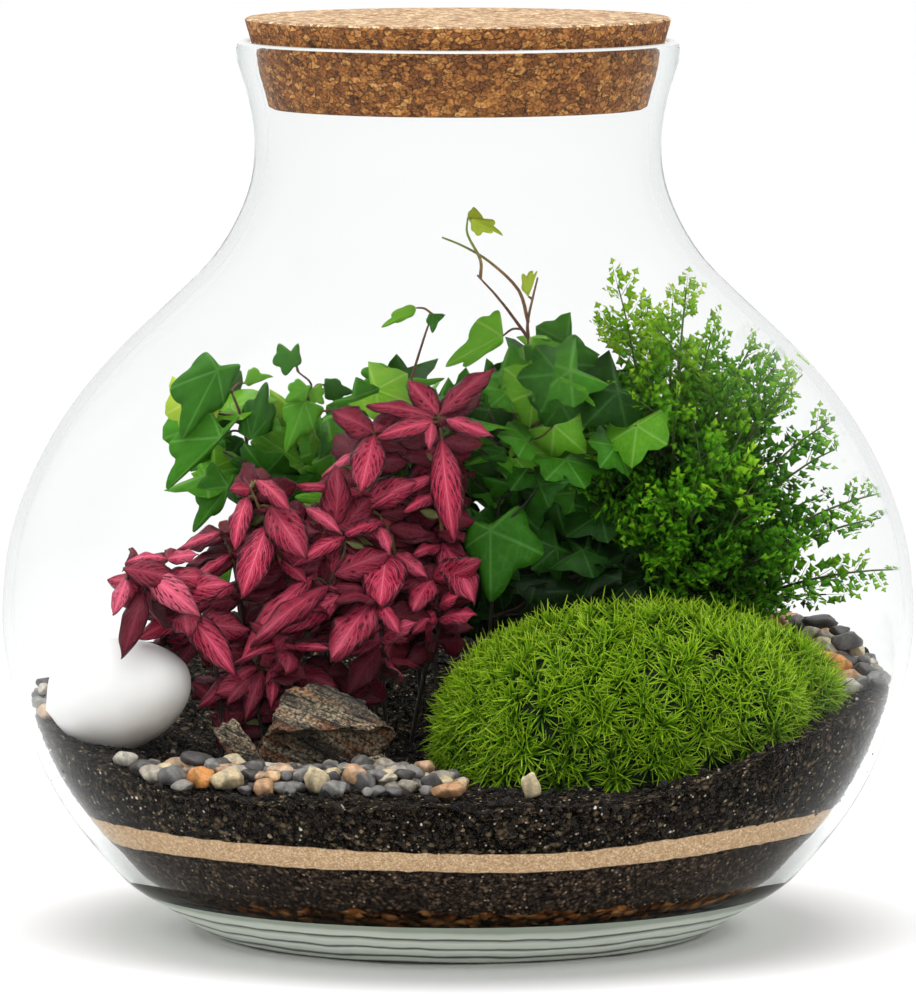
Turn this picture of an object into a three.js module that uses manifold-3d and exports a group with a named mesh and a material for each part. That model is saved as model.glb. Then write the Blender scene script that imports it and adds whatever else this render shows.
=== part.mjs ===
// Glass plant terrarium: a corked, bulbous glass vase with layered ground and living plants.
// Millimetres, +Z up. The origin is the centre of the vase's foot and the front faces -Y.
import * as THREE from "three";
import { mergeVertices } from "three/addons/utils/BufferGeometryUtils.js";
import Module from "manifold-3d";

const wasm = await Module();
wasm.setup();

const SIDES = 32; // facets round every turned piece, the same on all, so that gaps stay even
const GAP = 0.3; // clearance between neighbours that touch
const BLADE = 0.7; // thickness of a leaf

// ---- solids: closed meshes that can be joined and cut ----

// A closed triangle list becomes a solid with its faces out.
function solidFrom(vertices, faces) {
  const build = (list) =>
    new wasm.Manifold(
      new wasm.Mesh({
        numProp: 3,
        vertProperties: vertices,
        triVerts: new Uint32Array(list),
      }),
    );
  const made = build(faces);
  if (made.volume() >= 0) return made;
  const turned = [];
  for (let i = 0; i < faces.length; i += 3)
    turned.push(faces[i], faces[i + 2], faces[i + 1]);
  return build(turned);
}

// A three.js geometry, welded, without the slivers that welding leaves at a pole.
function solid(geometry) {
  const flat = geometry.index ? geometry.toNonIndexed() : geometry;
  const bare = new THREE.BufferGeometry().setAttribute(
    "position",
    flat.getAttribute("position"),
  );
  const welded = mergeVertices(bare, 1e-3);
  const index = welded.index.array;
  const faces = [];
  for (let i = 0; i < index.length; i += 3) {
    const [a, b, c] = [index[i], index[i + 1], index[i + 2]];
    if (a !== b && b !== c && c !== a) faces.push(a, b, c);
  }
  return solidFrom(welded.attributes.position.array, faces);
}

function pointsSolid(points, triangles) {
  const vertices = new Float32Array(points.length * 3);
  points.forEach((p, i) => vertices.set([p.x, p.y, p.z], i * 3));
  return solidFrom(vertices, triangles.flat());
}

function geometryOf(shape) {
  const mesh = shape.getMesh();
  const position = new Float32Array(mesh.numVert * 3);
  for (let i = 0; i < mesh.numVert; i++)
    position.set(
      mesh.vertProperties.subarray(i * mesh.numProp, i * mesh.numProp + 3),
      i * 3,
    );
  const geometry = new THREE.BufferGeometry()
    .setAttribute("position", new THREE.BufferAttribute(position, 3))
    .setIndex(new THREE.BufferAttribute(mesh.triVerts, 1));
  geometry.computeVertexNormals();
  return geometry;
}

const volumeOf = (a, b) => a.intersect(b).volume();

function joined(shapes) {
  let level = shapes;
  while (level.length > 1) {
    const next = [];
    for (let i = 0; i < level.length; i += 2)
      next.push(i + 1 < level.length ? level[i].add(level[i + 1]) : level[i]);
    level = next;
  }
  return level[0];
}

// The biggest body of a cut or joined solid: loose scraps are dropped.
function biggest(shape) {
  const bodies = shape.decompose();
  bodies.sort((a, b) => b.volume() - a.volume());
  return bodies[0];
}

// Joins leave vertices a hair apart: they are set on a fine grid and welded, and the
// faces that collapse, or close flat on each other, are dropped.
function tidy(shape, grid = 0.006) {
  const mesh = shape.getMesh();
  const keys = new Map();
  const vertices = [];
  const index = [];
  for (let i = 0; i < mesh.numVert; i++) {
    const at = [0, 1, 2].map((k) =>
      Math.round(mesh.vertProperties[i * mesh.numProp + k] / grid),
    );
    const key = at.join(",");
    if (!keys.has(key)) {
      keys.set(key, vertices.length / 3);
      vertices.push(...at.map((n) => n * grid));
    }
    index.push(keys.get(key));
  }
  const kept = new Map();
  for (let i = 0; i < mesh.triVerts.length; i += 3) {
    const [a, b, c] = [0, 1, 2].map((k) => index[mesh.triVerts[i + k]]);
    if (a === b || b === c || c === a) continue;
    const key = [a, b, c].sort((p, q) => p - q).join(",");
    if (kept.has(key)) kept.delete(key);
    else kept.set(key, [a, b, c]);
  }
  return biggest(
    solidFrom(new Float32Array(vertices), [...kept.values()].flat()),
  );
}

function seeded(seed) {
  let state = seed;
  return () => (state = (state * 48271) % 2147483647) / 2147483647;
}

const V = (x, y, z) => new THREE.Vector3(x, y, z);

// ---- glass vase ----

// Outer wall from the foot to the rim, as [radius, height].
const OUTER = [
  [75, 0],
  [81, 1.8],
  [96.2, 11.5],
  [109.6, 22.2],
  [123.3, 39.8],
  [134, 61],
  [140.3, 83.8],
  [141.8, 99.5],
  [140, 117],
  [133.2, 140.2],
  [119, 165.1],
  [73.6, 213.4],
  [65.4, 229],
  [63, 244],
  [68.4, 271],
  [68.4, 275.6],
  [67.2, 276.8],
];
// Inner wall from the rim down to the floor.
const INNER = [
  [65.1, 276.8],
  [63.9, 275.4],
  [63.9, 271],
  [59, 246],
  [61.4, 229],
  [70.8, 211.5],
  [116.2, 163],
  [129.9, 139],
  [136.7, 116],
  [138.5, 99.5],
  [137, 84.5],
  [130.8, 62.5],
  [120.4, 42.4],
  [107.2, 26],
  [94, 15],
  [80, 9],
];
const FLOOR = 9;

function turned(profile, sides = SIDES) {
  const geometry = new THREE.LatheGeometry(
    profile.map(([r, z]) => new THREE.Vector2(r, z)),
    sides,
  );
  return solid(geometry.rotateX(Math.PI / 2));
}

const glass = turned([
  [0, 2.5],
  [58, 0],
  ...OUTER,
  ...INNER,
  [0, FLOOR],
]);

// Radius of the inner wall at a height.
function innerRadius(z) {
  const wall = INNER;
  if (z >= wall[0][1]) return wall[0][0];
  for (let i = 1; i < wall.length; i++)
    if (z >= wall[i][1]) {
      const [r0, z0] = wall[i - 1];
      const [r1, z1] = wall[i];
      return r1 + ((r0 - r1) * (z - z1)) / (z0 - z1 || 1);
    }
  return wall[wall.length - 1][0];
}

// A bed that fills the vase from one level to another.
function bed(bottom, top) {
  const clear = (z) => innerRadius(z) - GAP * (z < 60 ? 1.5 : 1.1);
  const levels = INNER.map(([, z]) => z)
    .filter((z) => z > bottom + 0.5 && z < top - 0.5)
    .sort((a, b) => a - b);
  return turned([
    [0, bottom],
    [clear(bottom), bottom],
    ...levels.map((z) => [clear(z), z]),
    [clear(top), top],
    [0, top],
  ]);
}

const cork = turned([
  [0, 256.2],
  [57.2, 256.2],
  [58.7, 257.6],
  [66, 284],
  [0, 284],
]);

// ---- ground ----

const smooth = (t) => {
  const c = Math.min(1, Math.max(0, t));
  return c * c * (3 - 2 * c);
};

// Height of the soil: it climbs to the back, to the left and to the right.
function ground(x, y) {
  const back = smooth((y + 5) / 110);
  const front = smooth((y + 110) / 90);
  const rise = 30 - 8 * smooth((-x - 20) / 80);
  return (
    54 +
    rise * back +
    (1 - 0.6 * back) *
      (12 * front * smooth((-x - 55) / 75) + 22 * smooth((x - 45) / 90))
  );
}

// Everything under the ground's surface, lifted by a given amount.
function underGround(lift) {
  const rings = [46, 84, 112, 150];
  const points = [V(0, 0, ground(0, 0) + lift)];
  for (const r of rings)
    for (let i = 0; i < SIDES; i++) {
      const a = (2 * Math.PI * i) / SIDES;
      const [x, y] = [r * Math.sin(a), -r * Math.cos(a)];
      points.push(V(x, y, ground(x, y) + lift));
    }
  const ringAt = (k, i) => 1 + k * SIDES + (i % SIDES);
  const last = rings.length - 1;
  const foot = points.length;
  for (let i = 0; i < SIDES; i++) {
    const p = points[ringAt(last, i)];
    points.push(V(p.x, p.y, 20));
  }
  const faces = [];
  for (let i = 0; i < SIDES; i++) {
    const next = (i + 1) % SIDES;
    faces.push([0, ringAt(0, i), ringAt(0, i + 1)]);
    for (let k = 0; k < last; k++)
      faces.push(
        [ringAt(k, i), ringAt(k + 1, i), ringAt(k + 1, i + 1)],
        [ringAt(k, i), ringAt(k + 1, i + 1), ringAt(k, i + 1)],
      );
    faces.push(
      [ringAt(last, i), foot + i, foot + next],
      [ringAt(last, i), foot + next, ringAt(last, i + 1)],
    );
    if (i > 0 && i < SIDES - 1) faces.push([foot, foot + i + 1, foot + i]);
  }
  return pointsSolid(points, faces);
}

const groundSolid = underGround(0);
const groundLifted = underGround(GAP);
const onGround = (shape) => biggest(shape.subtract(groundLifted));

// ---- tubes, blades and needles ----

function tube(path, radius, sides = 5, steps = 0) {
  const curve =
    path.length > 2
      ? new THREE.CatmullRomCurve3(path, false, "centripetal")
      : new THREE.LineCurve3(path[0], path[1]);
  const outline = new THREE.Shape();
  for (let i = 0; i < sides; i++) {
    const a = (2 * Math.PI * i) / sides;
    const [x, y] = [radius * Math.cos(a), radius * Math.sin(a)];
    if (i) outline.lineTo(x, y);
    else outline.moveTo(x, y);
  }
  return solid(
    new THREE.ExtrudeGeometry(outline, {
      steps: steps || (path.length > 2 ? path.length + 1 : 1),
      extrudePath: curve,
      bevelEnabled: false,
    }),
  );
}

// A sheet with the same triangles on both faces and a wall round its edge.
function sheet(points, normals, triangles, thickness = BLADE) {
  const n = points.length;
  const upper = points.map((p, i) =>
    p.clone().addScaledVector(normals[i], thickness / 2),
  );
  const lower = points.map((p, i) =>
    p.clone().addScaledVector(normals[i], -thickness / 2),
  );
  const faces = [];
  const edges = new Set();
  for (const [a, b, c] of triangles) {
    faces.push([a, b, c], [a + n, c + n, b + n]);
    edges.add(a + "," + b).add(b + "," + c).add(c + "," + a);
  }
  for (const edge of edges) {
    const [u, v] = edge.split(",").map(Number);
    if (!edges.has(v + "," + u)) faces.push([v, u, u + n], [v, u + n, v + n]);
  }
  return pointsSolid([...upper, ...lower], faces);
}

// Keeps a point clear of the glass wall.
function inside(p, clear = 2) {
  const most = innerRadius(p.z) - clear;
  const r = Math.hypot(p.x, p.y);
  if (r > most) {
    p.x *= most / r;
    p.y *= most / r;
  }
  return p;
}

// A pointed oval leaf with a waved edge, which arches from its base to its tip.
function ovalLeaf(base, tip, width, thickness = BLADE, rows = 3) {
  const along = tip.clone().sub(base);
  const length = along.length();
  along.normalize();
  const view = V(0, -0.84, 0.54);
  const across = along.clone().cross(view).normalize();
  const face = across.clone().cross(along).normalize();
  const middle = base
    .clone()
    .lerp(tip, 0.5)
    .addScaledVector(face, length * 0.14);
  const spine = new THREE.QuadraticBezierCurve3(base, middle, tip);
  const points = [spine.getPoint(0)];
  const normals = [face];
  for (let k = 1; k <= rows; k++) {
    const t = k / (rows + 1);
    const p = spine.getPoint(t);
    const slope = spine.getTangent(t);
    const normal = across.clone().cross(slope).normalize();
    const half =
      (width / 2) * Math.pow(Math.sin(Math.PI * Math.pow(t, 0.85)), 0.8);
    const wave = (k % 2 ? 1 : -1) * width * 0.05;
    for (const side of [-1, 0, 1])
      points.push(
        p
          .clone()
          .addScaledVector(across, side * half * (k % 2 ? 1.06 : 0.96))
          .addScaledVector(normal, side ? width * 0.1 + side * wave : 0),
      );
    for (const _ of [0, 1, 2]) normals.push(normal);
  }
  points.push(spine.getPoint(1));
  normals.push(face);
  points.forEach((p) => inside(p));
  const end = points.length - 1;
  const faces = [
    [0, 2, 1],
    [0, 3, 2],
  ];
  for (let k = 0; k < rows - 1; k++) {
    const a = 1 + 3 * k;
    for (const s of [0, 1])
      faces.push([a + s, a + s + 1, a + s + 4], [a + s, a + s + 4, a + s + 3]);
  }
  faces.push([end - 3, end - 2, end], [end - 2, end - 1, end]);
  return sheet(points, normals, faces, thickness);
}

// A five-lobed leaf. Its lobes are given as offsets from where its stalk joins it.
function lobedLeaf(at, slope, lobes, thickness = BLADE) {
  const place = (dx, dz, lift = 0) =>
    inside(V(at.x + dx, at.y + slope * dz - lift, at.z + dz));
  const [tip, left, right, backLeft, backRight] = lobes;
  const mix = (a, b, t, pull) => [
    (a[0] + (b[0] - a[0]) * t) * pull,
    (a[1] + (b[1] - a[1]) * t) * pull,
  ];
  const outline = [
    tip,
    mix(tip, left, 0.55, 0.62),
    left,
    mix(left, backLeft, 0.55, 0.72),
    backLeft,
    [0, 0],
    backRight,
    mix(backRight, right, 0.45, 0.72),
    right,
    mix(right, tip, 0.45, 0.62),
  ];
  const heart = [tip[0] * 0.3, tip[1] * 0.3];
  const turn = ([x, z]) => Math.atan2(z - heart[1], x - heart[0]);
  outline.sort((a, b) => turn(a) - turn(b));
  const points = outline.map(([x, z]) => place(x, z));
  points.push(place(heart[0], heart[1], 1.1));
  const normal = V(0, -1, slope).normalize();
  const faces = outline.map((_, i) => [i, (i + 1) % outline.length, outline.length]);
  return sheet(
    points,
    points.map(() => normal),
    faces,
    thickness,
  );
}

// A frond: an arched blade cut to the rib into pairs of leaflets.
function frond(base, tip, width, pairs, thickness = BLADE) {
  const rise = V(
    base.x + (tip.x - base.x) * 0.34,
    base.y + (tip.y - base.y) * 0.34,
    base.z + (tip.z - base.z) * 0.66 + 7,
  );
  const rib = new THREE.QuadraticBezierCurve3(base, rise, tip);
  const points = [];
  const normals = [];
  const faces = [];
  const start = 0.3;
  const half = 0.5;
  const step = (rib.getLength() * (1 - start)) / pairs;
  for (let k = -1; k <= pairs; k++) {
    const t = k < 0 ? 0 : start + ((1 - start) * k) / pairs;
    const p = rib.getPoint(t);
    const along = rib.getTangent(t);
    const across = along.clone().cross(V(0.15, -0.9, 0.4)).normalize();
    const normal = across.clone().cross(along).normalize();
    const reach =
      width * (0.4 + 0.6 * Math.sin((Math.PI * (k + 0.6)) / (pairs + 0.6)));
    const a = points.length;
    points.push(
      p.clone().addScaledVector(across, -half),
      p.clone().addScaledVector(across, half),
    );
    normals.push(normal, normal);
    if (k === pairs) break;
    const next = k < 0 ? a + 2 : a + 4;
    faces.push([a, a + 1, next + 1], [a, next + 1, next]);
    if (k < 0) continue;
    for (const side of [-1, 1]) {
      points.push(
        p
          .clone()
          .addScaledVector(across, side * (half + reach / 2))
          .addScaledVector(along, step * 0.75)
          .addScaledVector(normal, (k % 2 ? 0.5 : -0.3) * side),
      );
      normals.push(normal);
    }
    faces.push([a, next, a + 2], [a + 1, a + 3, next + 1]);
  }
  points.forEach((p) => inside(p, 1.5));
  return sheet(points, normals, faces, thickness);
}

// A three-sided needle.
function needle(root, tip, radius) {
  const along = tip.clone().sub(root).normalize();
  const side = along
    .clone()
    .cross(Math.abs(along.z) > 0.8 ? V(1, 0, 0) : V(0, 0, 1))
    .normalize();
  const up = side.clone().cross(along);
  const corners = [0, 1, 2].map((i) => {
    const a = (2 * Math.PI * i) / 3;
    return root
      .clone()
      .addScaledVector(side, radius * Math.cos(a))
      .addScaledVector(up, radius * Math.sin(a));
  });
  return pointsSolid(
    [...corners, tip],
    [
      [0, 1, 2],
      [0, 3, 1],
      [1, 3, 2],
      [2, 3, 0],
    ],
  );
}

// A pebble or stone: a sphere drawn out to its half sizes, tilted and set in place.
function pebble(at, half, tilt = [0, 0, 0], around = 7, down = 5, dent = 0) {
  const geometry = new THREE.SphereGeometry(1, around, down);
  const p = geometry.getAttribute("position");
  for (let i = 0; i < p.count; i++) {
    const v = V(p.getX(i), p.getY(i), p.getZ(i));
    const k = 1 + dent * Math.sin(3 * v.x + 2 * v.y) * Math.cos(2.5 * v.z + v.y);
    p.setXYZ(i, v.x * k, v.y * k, v.z * k);
  }
  geometry
    .rotateX(Math.PI / 2)
    .scale(...half)
    .rotateX(tilt[0])
    .rotateY(tilt[1])
    .rotateZ(tilt[2])
    .translate(...at);
  return solid(geometry);
}

// ---- plants: measured stems and leaves ----

// Nerve plants: a leaf is base x, y, z, tip x, y, z and width.
const NERVE_PLANTS = [
  {
    name: "nerve_plant_a",
    root: [-14, 6],
    path: [
      [-6, 2, 102],
      [-5, 0, 120],
      [-6, -2, 136],
      [-6, -3, 142],
      [-5, -5, 153],
      [-6, -6, 160],
    ],
    leaves: [
      [-6, -6, 161, 11, -6, 176, 7],
      [-7, -6, 160, -28, -14, 165, 6],
      [-6, -6, 161, -9, -2, 166, 4.5],
      [-7, -7, 159, -24, -18, 156, 5.5],
      [-4, -7, 160, 11, -16, 155, 5],
      [-8, -8, 159, -9, -16, 152, 3.5],
      [-5, -6, 153, -2, -20, 125, 9.5],
      [-6, -4, 142, -25, -18, 136, 4.5],
      [-6, -4, 136, -16, -16, 133, 4.5],
      [-5, -2, 121, 5, -20, 103, 10.5],
      [-5, -2, 120, -14, -14, 118, 5],
    ],
  },
  {
    name: "nerve_plant_b",
    root: [-27, -8],
    path: [
      [-20, -6, 103],
      [-20, -6, 120],
      [-23, -8, 128],
      [-30, -10, 136],
      [-28, -9, 146],
      [-26, -8, 155],
    ],
    leaves: [
      [-26, -9, 155, -30, -24, 139, 10],
      [-26, -9, 156, -39, -18, 163, 9],
      [-30, -11, 137, -50, -20, 140, 5.5],
      [-23, -9, 128, -35, -22, 125, 4.5],
      [-22, -7, 119, -24, -26, 103, 13],
      [-27, -9, 150, -41, -20, 146, 2.5],
      [-25, -10, 127, -21, -20, 121, 4.5],
      [-20, -5, 118, -10, -14, 112, 5.5],
    ],
  },
  {
    name: "nerve_plant_c",
    root: [-52, -14],
    path: [[-52, -14, 104], [-55, -17, 117], [-59, -19, 128], [-64, -18, 139]],
    leaves: [
      [-65, -19, 137, -69, -32, 123, 6.5],
      [-64, -18, 139, -70, -26, 140, 5],
      [-62, -18, 142, -52, -32, 135, 6],
      [-58, -20, 134, -48, -36, 122, 11.5],
      [-59, -21, 128, -66, -38, 109, 10],
      [-55, -17, 117, -47, -24, 112, 5],
    ],
  },
  {
    name: "nerve_plant_d",
    root: [-73, -26],
    path: [[-75, -28, 86], [-84, -34, 102], [-90, -40, 112], [-95, -46, 116], [-102, -51, 118]],
    leaves: [
      [-96, -47, 111, -102, -58, 92, 7],
      [-101, -51, 115, -105, -56, 104, 4.5],
      [-89, -43, 120, -100, -52, 122, 4],
      [-89, -43, 120, -79, -50, 122, 4.5],
      [-95, -47, 116, -80, -58, 106, 8.5],
      [-84, -36, 103, -69, -52, 88, 9],
      [-85, -33, 101, -98, -40, 95, 6],
      [-80, -30, 94, -87, -34, 85, 4.5],
    ],
  },
  {
    name: "nerve_plant_e",
    root: [-64, -8],
    path: [[-66, -12, 92], [-68, -16, 108], [-70, -19, 119], [-73, -20, 126]],
    leaves: [
      [-73, -21, 126, -86, -32, 122, 3],
      [-70, -20, 119, -82, -32, 112, 3.5],
      [-69, -18, 109, -75, -28, 106, 4],
    ],
  },
  {
    name: "nerve_plant_f",
    root: [-38, -6],
    path: [[-40, -14, 92], [-40, -17, 109], [-35, -16, 121], [-40, -15, 128], [-47, -14, 133]],
    leaves: [
      [-47, -15, 133, -37, -26, 128, 4.5],
      [-35, -17, 124, -48, -34, 120, 5.5],
      [-40, -19, 109, -63, -48, 95, 7.5],
      [-45, -18, 112, -67, -40, 92, 8],
      [-36, -18, 106, -54, -32, 97, 8.5],
    ],
  },
  {
    name: "nerve_plant_g",
    root: [-22, -16],
    path: [[-23, -18, 77], [-23, -19, 89], [-25, -20, 104]],
    leaves: [
      [-26, -21, 105, -39, -42, 88, 11.5],
      [-24, -20, 90, -34, -27, 77, 8.5],
      [-24, -19, 92, -13, -28, 99, 6.5],
      [-25, -20, 104, -18, -34, 96, 5.5],
    ],
  },
  {
    name: "nerve_plant_h",
    root: [-60, -24],
    path: [[-62, -24, 74], [-62, -25, 83], [-59, -26, 88], [-52, -27, 91]],
    leaves: [
      [-49, -28, 91, -66, -46, 92, 2.5],
      [-51, -28, 90, -57, -38, 85, 6.5],
      [-60, -26, 84, -65, -39, 72, 5.5],
      [-57, -27, 86, -57, -37, 75, 4.5],
      [-62, -26, 83, -71, -37, 75, 6.5],
      [-62, -26, 85, -80, -34, 74, 6.5],
      [-52, -28, 91, -39, -36, 92, 2.5],
      [-56, -26, 88, -47, -34, 82, 6.5],
    ],
  },
  {
    name: "nerve_plant_i",
    root: [-6, -6],
    path: [[-7, -8, 85], [-6, -9, 99], [-8, -9, 110]],
    leaves: [
      [-8, -10, 110, -14, -24, 102, 8],
      [-6, -10, 102, 0, -18, 106, 5.5],
      [-7, -10, 100, -13, -20, 96, 6],
      [-6, -10, 98, 6, -20, 100, 7],
      [-6, -8, 91, -17, -18, 84, 5.5],
    ],
  },
];

// Ivy: a leaf is the stalk's end x, y, z, a slope, then the offsets x, z of its tip,
// its two side lobes and its two back lobes.
const IVY_PLANTS = [
  {
    name: "ivy_left",
    root: [-60, 30],
    path: [[-67, 26, 136], [-66, 24, 147], [-68, 22, 158], [-71, 21, 166], [-73, 19, 172]],
    leaves: [
      [-75, 18, 173, 0.3, -11, -21, -15, -5, 2, -10, -4, 6, 7, 2],
      [-74, 16, 152, 0.3, -17, -16, -16, -1, -5, -6, -4, 9, 6, 7],
      [-65, 20, 151, 0.1, 5, 18, -2, 11, 8, 9, -4, 2, 6, 2],
      [-72, 20, 136, 0.3, -11, -14, -10, -1, -2, -7, -5, 8, 2, 4],
      [-67, 27, 168, 0.2, 9, 2, 3, 5, 6, 1, 1, 4, 1, -1],
      [-71, 14, 117, 0.3, -10, -12, -11, -6, -1, -12, -7, 0, 1, -2],
    ],
  },
  {
    name: "ivy_mid",
    root: [-40, 36],
    path: [
      [-50, 33, 134],
      [-49, 31, 146],
      [-47, 28, 156],
      [-47, 25, 162],
      [-46, 23, 168],
      [-50, 21, 172],
    ],
    leaves: [
      [-48, 22, 163, 0.3, -6, -16, -7, -2, 3, -9, -4, 1, 6, -2],
      [-52, 20, 177, 0.2, -2, -6, -6, -2, 3, -2, -4, 4, 2, 4],
      [-47, 20, 167, 0.3, -7, -4, -6, 1, -1, -4, -3, 3, 1, 1],
      [-46, 23, 166, 0.3, 4, -4, 0, -4, 4, 0, -1, 1, 3, 2],
      [-48, 30, 142, 0.1, -18, -2, -15, 10, -6, -6, -7, 12, 1, -5],
      [-46, 36, 145, 0.1, 16, 8, 6, 12, 13, -2, -1, 8, 4, -6],
      [-42, 32, 167, 0.1, 9, -2, 4, 2, 5, -6, 0, 2, 0, -4],
      [-38, 18, 132, 0.2, -13, 1, -10, 4, -8, -3, -2, 4, 1, -3],
    ],
  },
  {
    name: "ivy_centre",
    root: [-12, 36],
    path: [
      [-15, 32, 132],
      [-16, 31, 146],
      [-15, 30, 157],
      [-15, 30, 167],
      [-11, 26, 181],
      [-8, 21, 190],
    ],
    leaves: [
      [-16, 29, 169, 0.1, -16, -3, -14, 3, -11, -4, -8, 5, -2, 2],
      [-19, 34, 166, 0.1, 15, 3, 5, 3, 8, -2, 0, 2, 2, -2],
      [-15, 26, 150, 0.2, -6, -8, -7, -2, 2, -8, -3, 3, 3, 0],
      [-13, 20, 192, 0.2, -11, -6, -7, -1, -5, -4, -2, 1, -1, -2],
      [-8, 20, 190, 0.1, 0, -6, -2, -2, 4, 0, -1, 0, 3, 0],
    ],
  },
  {
    name: "ivy_top",
    root: [24, 36],
    path: [[26, 33, 132], [26, 31, 146], [24, 29, 161], [22, 28, 172], [22, 27, 182]],
    branches: [
      [[22, 27, 182], [14, 25, 193], [6, 23, 202]],
      [[22, 27, 182], [22, 27, 188], [25, 26, 201]],
      [[22, 27, 187], [19, 26, 197], [10, 25, 206], [2, 24, 211], [-5, 23, 214]],
      [[7, 23, 201], [7, 22, 207], [3, 21, 215], [3, 20, 220]],
    ],
    leaves: [
      [14, 22, 183, 0.3, -18, -9, -8, 5, -11, -9, -1, 8, 0, -2],
      [30, 20, 175, 0.3, 8, -15, -8, -7, 16, -1, -9, 6, 6, 9],
      [29, 26, 179, 0.1, -3, 3, -4, 1, 0, 3, -4, 0, 1, 1],
      [3, 20, 220, 0.6, 11, -5, 2, 4, 8, 0, 0, 2, 1, -1],
      [4, 19, 220, 0.3, 7, -4, 4, 0, 2, -5, 0, 0, 0, -3],
      [22, 26, 195, 0.1, 1, 8, -2, 7, 3, 8, -2, 2, 1, 2],
    ],
  },
  {
    name: "ivy_right",
    root: [10, 28],
    path: [[13, 22, 133], [16, 20, 145], [19, 22, 152], [20, 26, 158]],
    leaves: [
      [16, 18, 147, 0.1, 17, 0, 8, 6, 7, -8, 1, 5, 1, -5],
      [15, 17, 147, 0.1, -11, 2, -6, 4, -7, -2, -1, 3, 0, -3],
      [19, 28, 157, 0.1, -11, 4, -9, 10, -9, -4, -2, 9, 1, -6],
      [24, 30, 157, 0.1, 11, 4, 3, 10, 11, -3, -2, 8, 1, -6],
      [35, 24, 149, 0.1, 16, -5, 10, 4, 10, -14, 0, 3, 0, -11],
    ],
  },
  {
    name: "ivy_front",
    root: [8, 10],
    path: [[11, 8, 106], [12, 7, 115], [10, 6, 123]],
    leaves: [
      [10, 5, 124, 0.3, 0, -22, -8, -5, 17, -7, -7, 3, 9, 8],
      [12, 10, 114, 0.1, 9, -8, 4, -1, 4, -9, 1, 2, 1, -6],
    ],
  },
];

// Tips of the fern's fronds, as x, y, z, width and pairs of leaflets.
const FRONDS = [
  [44, 20, 209, 11, 6],
  [60, 30, 199, 11, 5],
  [72, 5, 207, 9, 5],
  [67, 15, 201, 9, 4],
  [82, 15, 190, 11, 5],
  [93, 24, 178, 11, 5],
  [107, 0, 172, 11, 5],
  [116, 14, 157, 11, 4],
  [120, 36, 146, 11, 4],
  [132, 2, 136, 11, 5],
  [133, 16, 126, 10, 4],
  [136, 2, 112, 9, 5],
  [116, 32, 101, 11, 4],
  [100, 58, 104, 12, 4],
  [63, 2, 120, 11, 4],
  [42, 22, 133, 11, 4],
  [44, 40, 150, 12, 4],
  [41, 52, 169, 12, 4],
  [84, 8, 122, 12, 4],
  [81, -8, 151, 13, 4],
  [65, 4, 168, 13, 4],
  [89, -8, 136, 13, 4],
  [97, 8, 160, 12, 4],
  [70, 92, 150, 13, 4],
  [100, 78, 132, 13, 4],
  [42, 90, 136, 13, 4],
];
const FERN_CROWN = [66, 46];

// ---- stones ----

// Outline of a rock seen from the front, as x, z, given a depth and split edges.
function slab(outline, front, back, lean) {
  const shape = new THREE.Shape(outline.map(([x, z]) => new THREE.Vector2(x, z)));
  const geometry = new THREE.ExtrudeGeometry(shape, {
    depth: back - front - 3,
    steps: 2,
    bevelEnabled: true,
    bevelSegments: 1,
    bevelSize: 1.4,
    bevelOffset: -1.4,
    bevelThickness: 1.5,
  });
  geometry.rotateX(Math.PI / 2).translate(0, back - 1.5, 0);
  const p = geometry.getAttribute("position");
  for (let i = 0; i < p.count; i++) {
    const depth = (p.getY(i) - front) / (back - front);
    p.setZ(i, p.getZ(i) - lean * depth * Math.max(0, p.getZ(i) - 54));
    p.setX(i, p.getX(i) + 0.6 * Math.sin(p.getZ(i) * 0.5 + p.getY(i)));
  }
  return solid(geometry);
}

const whiteStone = pebble(
  [-104, -35, 76.6],
  [23.4, 18, 16.6],
  [0, 0.2, 0],
  12,
  8,
  0.03,
);
const rockLarge = slab(
  [
    [-60.6, 52],
    [-60.4, 63.3],
    [-56.1, 70.5],
    [-52.9, 79.5],
    [-41, 81],
    [-28.2, 75.1],
    [-19.6, 66.5],
    [-24, 60],
    [-30.9, 52],
  ],
  -47,
  -25,
  0.25,
);
const rockSmall = slab(
  [
    [-62, 52],
    [-72, 65.1],
    [-74.6, 69.6],
    [-68, 72.1],
    [-62.4, 64],
    [-59.4, 55],
    [-59, 52],
  ],
  -61,
  -50.5,
  0.1,
);
const rockChip = slab(
  [
    [-31, 52],
    [-30.4, 59.5],
    [-19.6, 59.8],
    [-18.6, 52],
  ],
  -56,
  -50,
  0,
);

// Pebbles: x, y, then width, depth and height, and a turn. Each rests on the ground.
const FRONT_PEBBLES = [
  [-94, -71, 9.5, 8, 5.5, 0.2],
  [-86, -81, 8.5, 8, 7, 0.4],
  [-79, -73, 7, 6, 5, 0.1],
  [-75, -71, 6.5, 6, 4.5, 0.5],
  [-70, -82, 7, 7, 5, 0.3],
  [-62, -78, 7, 7, 4.5, 0.2],
  [-54, -74, 7, 6, 5, 0.5],
  [-49, -77, 8, 8, 5.5, 0.3],
  [-44, -82, 7, 7, 5, 1.1],
  [-38, -78, 7, 6, 4.5, 0.2],
  [-36, -84, 7.5, 7, 5, 0.8],
  [-35, -90, 6.5, 6, 4.5, 0.4],
  [-28, -90, 7.5, 7, 7.5, 0.5],
  [-29, -80, 7, 7, 4.5, 1.2],
  [-21, -77, 7.5, 6.5, 4.5, 0.7],
  [-15, -88, 7, 6, 4.5, 0.3],
  [-14, -82, 7.5, 6.5, 4.5, 0.9],
  [-12, -72, 8, 6.5, 4.5, 0.4],
  [-5, -78, 7.5, 6, 4, 0.6],
  [-8, -88, 6, 5.5, 6, 0.2],
];
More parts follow.
